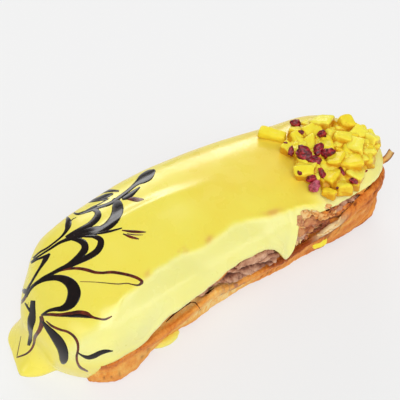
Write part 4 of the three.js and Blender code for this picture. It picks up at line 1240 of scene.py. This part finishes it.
def scrap(tree, across, down, long, wide, slant, seed, crag=0.3, thickness=0.8, lift=0.3):
    """A crinkled scrap that lies on what shows at a pixel of the photo, partly sunk into it."""
    spot, normal = seen_on(tree, across, down)
    sphere = block_points / np.linalg.norm(block_points, axis=-1, keepdims=True)
    crinkle = 1 + crag * (lumps(sphere, 0.9, 81 + seed, 3) + 0.8 * (crumbs(sphere, 0.7, 82 + seed, 2) - 0.5))
    thick = min(long, wide) * thickness
    points = sphere * crinkle[:, None] * [long / 2, wide / 2, thick / 2]
    ahead = photo_right * math.cos(math.radians(slant)) + photo_up * math.sin(math.radians(slant))
    axes = np.array([ahead, PHOTO_BACK.cross(ahead), PHOTO_BACK])
    return points @ axes + np.array(spot + normal * (lift * thick))


# Dried berry skin: dark red and wrinkled with a sticky sheen, so the eye sees near-black folds and brighter
# red ridges. Its wrinkles have this size.
BERRY_WRINKLE = 0.9
berry, shader = new_material("dried_berry")
spot = add(berry, "TexCoord", {})
wrinkle = add(
    berry, "TexNoise", {"Vector": (spot, "Object"), "Scale": 1 / (BERRY_WRINKLE * MM), "Detail": 4.0}
)
colours = add(
    berry, "ValToRGB", {"Fac": (wrinkle, "Fac")}, stops=[(0.32, "38060c"), (0.7, "c22832"), (0.5, "80101c")]
)
bump = add(berry, "Bump", {"Height": (wrinkle, "Fac"), "Strength": 0.7, "Distance": 0.4 * MM})
add(
    berry,
    shader,
    {"Base Color": (colours, "Color"), "Roughness": 0.3, "IOR": 1.45, "Normal": (bump, "Normal")},
)
bits = [scrap(fruit_tree, *place, k) for k, place in enumerate(BERRIES)]
berries = merged("berry_bits", bits, berry)

# Pink berry flesh: paler and less sticky than the skin, so the eye sees one soft pink lump among the red
# bits. Its wrinkles have this size.
PINK_WRINKLE = 1.1
pink, shader = new_material("pink_berry")
spot = add(pink, "TexCoord", {})
wrinkle = add(
    pink, "TexNoise", {"Vector": (spot, "Object"), "Scale": 1 / (PINK_WRINKLE * MM), "Detail": 4.0}
)
colours = add(
    pink, "ValToRGB", {"Fac": (wrinkle, "Fac")}, stops=[(0.34, "7c1c2c"), (0.68, "d6728a"), (0.5, "b9485a")]
)
bump = add(pink, "Bump", {"Height": (wrinkle, "Fac"), "Strength": 0.6, "Distance": 0.4 * MM})
add(
    pink,
    shader,
    {"Base Color": (colours, "Color"), "Roughness": 0.4, "IOR": 1.45, "Normal": (bump, "Normal")},
)
pink_bit = merged("pink_berry_bit", [scrap(fruit_tree, *PINK_BIT, 40, lift=PINK_LIFT)], pink)

# A scrap of the same fruit fell on the front of the base and stuck there. It is a thin, soft slice that leans
# against the crust.
CHIP = SimpleNamespace(
    x=34.6, y=-17.6, z=9.4, tilt=0.08, lean=-0.35,
    length=6.2, thickness=2.0, height=3.9, rounding=0.7, tone=0.35,
)
chip_block = fruit_block((CHIP.length, CHIP.thickness, CHIP.height), CHIP.rounding, 5)
chip_points = turned(chip_block, 0, CHIP.tilt, CHIP.lean) + [CHIP.x, CHIP.y, CHIP.z]
chip = merged("fruit_scrap", [chip_points], mango, {"die": np.full(len(chip_points), CHIP.tone)})

# Beside the drip the icing pulled a piece of the lid away, and the open crumb shows there as torn flakes of
# baked paste, some smeared with mousse.
# Each is given as it shows in the photo: (across, down) pixels, length, width, slant, browning and paleness.
FLAKES = [
    (304, 214, 5.0, 2.6, 10, 0.2, 0.5), (313, 213, 4.6, 2.4, -5, 0.35, 0.3),
    (321, 216, 3.4, 2.6, -20, 0.3, 0.4), (300, 222, 3.2, 2.8, 80, 0.3, 0.4),
    (308, 221, 4.6, 3.2, 15, 0.5, 0.1), (316, 223, 4.4, 3.0, -10, 0.6, 0.1),
    (324, 222, 2.8, 2.4, 30, 0.7, 0.0), (300, 231, 3.0, 2.6, 70, 0.5, 0.2),
    (307, 229, 4.0, 2.6, 20, 0.6, 0.1), (314, 231, 3.4, 2.2, 0, 0.7, 0.0),
    (321, 229, 2.6, 1.8, -30, 0.8, 0.0), (327, 206, 2.8, 1.4, -10, 0.4, 0.3),
    (335, 208, 2.6, 1.6, 40, 0.5, 0.2), (331, 215, 3.0, 1.3, 5, 0.4, 0.3),
    (339, 212, 2.6, 1.6, 45, 0.5, 0.1), (345, 207, 3.2, 1.4, 30, 0.7, 0.0),
    (352, 203, 3.0, 1.2, 25, 0.8, 0.0), (305, 237, 2.2, 1.8, 30, 0.8, 0.0),
    (302.5, 213.5, 2.4, 1.2, 30, 0.1, 0.8), (311, 211.5, 2.6, 1.0, 5, 0.1, 0.8),
    (326, 207.5, 2.2, 1.0, 15, 0.2, 0.7), (334, 212.5, 2.0, 0.9, 35, 0.2, 0.7),
    (339, 220, 2.8, 0.8, 55, 0.1, 0.9), (335, 226, 3.0, 0.8, 42, 0.1, 0.9),
    (328, 231.5, 3.2, 0.8, 22, 0.1, 0.9), (320, 235, 2.8, 0.8, 8, 0.1, 0.8),
    (300, 239.5, 2.2, 1.3, 80, 0.2, 0.8), (306, 234.5, 1.8, 1.1, 40, 0.2, 0.8),
    (297, 243, 1.6, 0.9, 80, 0.2, 0.7), (303, 242, 1.8, 1.0, 75, 1.3, 0.0),
    (311, 217, 2.0, 0.9, 20, 1.3, 0.0), (320, 219, 1.8, 0.8, -15, 1.3, 0.0),
    (309, 226, 2.2, 0.8, 35, 1.3, 0.0), (326, 226, 4.2, 1.8, 28, 0.9, 0.0),
    (304, 220, 1.8, 0.8, 60, 0.1, 0.8), (315, 227, 2.0, 0.8, 15, 0.1, 0.7),
]
FLAKE_SHAPE = {"crag": 0.5, "thickness": 0.45, "lift": 0.2}
FLAKE_CRUMB = 1.5
SMEARED_DOWN, SMEARED_PALENESS = (220, 240), 0.6
torn_tree = tree_of(base, mousse, lid, icing)
flakes, flake_values = [], {"browned": [], "torn": [], "dark": [], "crackle": [], "smear": []}
for k, (across, down, long, wide, slant, browning, paleness) in enumerate(FLAKES):
    flakes.append(scrap(torn_tree, across, down, long, wide, slant, 50 + k, **FLAKE_SHAPE))
    rough = crumbs(flakes[-1], FLAKE_CRUMB, 83, 3)
    by_mousse = SMEARED_DOWN[0] < down < SMEARED_DOWN[1] and paleness < SMEARED_PALENESS
    flake_values["browned"].append(browning + 0.5 * (0.6 - rough))
    flake_values["torn"].append(paleness * ease(rough, 0.2, 0.7))
    flake_values["dark"].append(0.8 * (1 - ease(rough, 0.1, 0.4)))
    flake_values["crackle"].append(np.full(len(rough), 0.5))
    flake_values["smear"].append(np.full(len(rough), 0.55 if by_mousse else 0.1))
torn_crumb = merged("torn_lid_crumb", flakes, crust, flake_values)

# Where the lid meets the base the crust opened in the oven, and scorched along thin open cracks. The first
# line, along the ledge gap at the left, is no crack but painted shadow in the gap under the lid's edge.
# Each line is traced in the photo as (across, down) pixels with its width in millimetres.
CRACKS_AND_GAP_SHADOW = {
    "ledge_gap_shadow": [(166, 322, 0.2), (172, 316, 0.5), (178, 310.7, 0.6), (185, 305.7, 0.6), (191, 302.2, 0.4)],
    "flap": [(190, 302.5, 0.25), (195, 302.5, 0.3), (198, 306, 0.25), (200.5, 309.5, 0.15)],
    "lid_spot": [
        (203, 294.8, 0.15), (206, 293.2, 0.6), (208.5, 291.8, 1.0), (211, 290.4, 0.4), (214, 288.6, 0.1),
    ],
}
LID_CRACK = [
    (326, 211, 0.3), (330, 209, 1.4), (334, 208.6, 1.2), (339, 209, 0.5),
    (345, 206.6, 0.7), (351, 203.6, 0.6), (357, 200.5, 0.3),
]
LINE_LIFT = 0.12

# Scorched crust: dry and charred, so the eye sees a dull dark brown line; along the ledge gap the same line
# is painted shadow. Its specks have this size.
CHAR_SPECK = 0.8
scorch_and_shadow, shader = new_material("scorched_crack_and_gap_shadow")
spot = add(scorch_and_shadow, "TexCoord", {})
specks = add(scorch_and_shadow, "TexNoise", {"Vector": (spot, "Object"), "Scale": 1 / (CHAR_SPECK * MM), "Detail": 3.0})
colours = add(scorch_and_shadow, "ValToRGB", {"Fac": (specks, "Fac")}, stops=[(0.35, "38190c"), (0.7, "6e3a1c")])
add(scorch_and_shadow, shader, {"Base Color": (colours, "Color"), "Roughness": 0.8, "Specular IOR Level": 0.1})
base_tree, lid_tree = tree_of(base), tree_of(lid)
crack_and_shadow_rings = [ribbon(base_tree, traced, LINE_LIFT) for traced in CRACKS_AND_GAP_SHADOW.values()]
crack_and_shadow_rings.append(ribbon(lid_tree, LID_CRACK, LINE_LIFT))
crack_and_shadow_lines = ring_piece("crust_cracks_and_gap_shadow", crack_and_shadow_rings, scorch_and_shadow)

# A flake of the lid's crust split off in the oven and curls up past the right end. It is dry and pale, with
# scorched edges, and still hangs on the lid by its root.
CURL = SimpleNamespace(y=-12.7, z=28.0, root=-9, tip=-0.2, width=2.6, thickness=0.7, dish=0.5, ragged=0.3)
CURL_RISE = smooth_line([(CURL.root, 0.3), (-4, 0), (-1.6, 0.6), (CURL.tip, 2.8)])
CURL_RINGS, CURL_HALF = 48, 9
curl_run = np.linspace(CURL.root, CURL.tip, CURL_RINGS)[::-1, None]
over_curl = np.linspace(-1, 1, CURL_HALF)
curl_across = np.concatenate([over_curl, over_curl[::-1]])
curl_side = np.repeat([1, -1], CURL_HALF)
run, aside = np.broadcast_arrays(curl_run, curl_across)
curl_x = RIGHT_END + run + CURL.ragged * noise(np.stack([aside, run, 0 * run], -1), 1.2, 91)
curl_y = CURL.y + aside * CURL.width / 2
curl_z = CURL.z + CURL_RISE(run) + CURL.dish * aside**2
curl_z = curl_z + curl_side * CURL.thickness / 2 * (1 - 0.6 * aside**2)
curl_edge = np.abs(aside) ** 1.5
curl_values = {
    "browned": np.append(0.1 + 0.3 * curl_edge, [0.3, 0.3]),
    "dark": np.append(ease(run, -5, -3) * curl_edge, [0.6, 0.6]),
    "torn": np.append(ease(run, -3, -1) * (1 - curl_edge) * 0.7, [0.2, 0.2]),
}
curl = ring_piece("crust_curl", [np.stack([curl_x, curl_y, curl_z], -1)], crust, curl_values)

# The studio: a plain pale floor, soft light from all round, broad lights at the front and left and a strip
# behind. The camera stands where the photo was taken from, above the front left.
camera_data = bpy.data.cameras.new("photo_camera")
camera_data.lens = PHOTO_LENS
camera_data.sensor_width = SENSOR
camera_data.shift_y = (PHOTO_CENTRE[1] - PHOTO_SIZE / 2) / PHOTO_SIZE
camera = bpy.data.objects.new("photo_camera", camera_data)
camera.location = photo_place * MM
camera.rotation_euler = (-PHOTO_BACK).to_track_quat("-Z", "Y").to_euler()
bpy.context.scene.collection.objects.link(camera)
bpy.context.scene.camera = camera

# Pale floor paper: dull, and glowing a little by itself, so the eye sees an even pale ground with only a
# faint soft shade.
FLOOR_HALF = 4000
FLOOR_CORNERS = [(-1, -1, 0), (1, -1, 0), (1, 1, 0), (-1, 1, 0)]
pale_floor, shader = new_material("pale_floor_paper")
add(
    pale_floor,
    shader,
    {
        "Base Color": (0.3, 0.3, 0.3, 1),
        "Roughness": 0.9,
        "Specular IOR Level": 0.0,
        "Emission Color": (1, 1, 1, 1),
        "Emission Strength": 0.6,
    },
)
floor_mesh = bpy.data.meshes.new("floor")
floor_mesh.from_pydata([Vector(corner) * FLOOR_HALF * MM for corner in FLOOR_CORNERS], [], [(0, 1, 2, 3)])
floor_mesh.materials.append(pale_floor)
floor = bpy.data.objects.new("floor", floor_mesh)
bpy.context.scene.collection.objects.link(floor)

LIGHT_ALL_ROUND = 0.3
world = bpy.data.worlds.new("studio_light")
world.use_nodes = True
world.node_tree.nodes["Background"].inputs["Color"].default_value = (1, 1, 1, 1)
world.node_tree.nodes["Background"].inputs["Strength"].default_value = LIGHT_ALL_ROUND
bpy.context.scene.world = world

# Each soft box is given by its direction from the eclair, its width and height, and its brightness.
LIGHT_DISTANCE = 2000
SOFT_BOXES = {
    "camera_side_box": ((-0.30, -0.48, 0.82), (1500, 1500), 3.5),
    "left_box": ((-0.93, 0.05, 0.36), (900, 700), 2.0),
    "front_box": ((0.30, -0.86, 0.42), (1500, 800), 1.9),
    "back_strip": ((0.36, 0.85, 0.40), (1500, 560), 6.4),
}
for name, (toward, size, brightness) in SOFT_BOXES.items():
    data = bpy.data.lights.new(name, "AREA")
    data.shape = "RECTANGLE"
    data.size, data.size_y = size[0] * MM, size[1] * MM
    data.energy = brightness * math.pi * data.size * data.size_y
    light = bpy.data.objects.new(name, data)
    light.location = PHOTO_TARGET * MM + Vector(toward).normalized() * LIGHT_DISTANCE * MM
    light.rotation_euler = Vector(toward).to_track_quat("Z", "Y").to_euler()
    bpy.context.scene.collection.objects.link(light)
bpy.context.scene.view_settings.view_transform = "Standard"
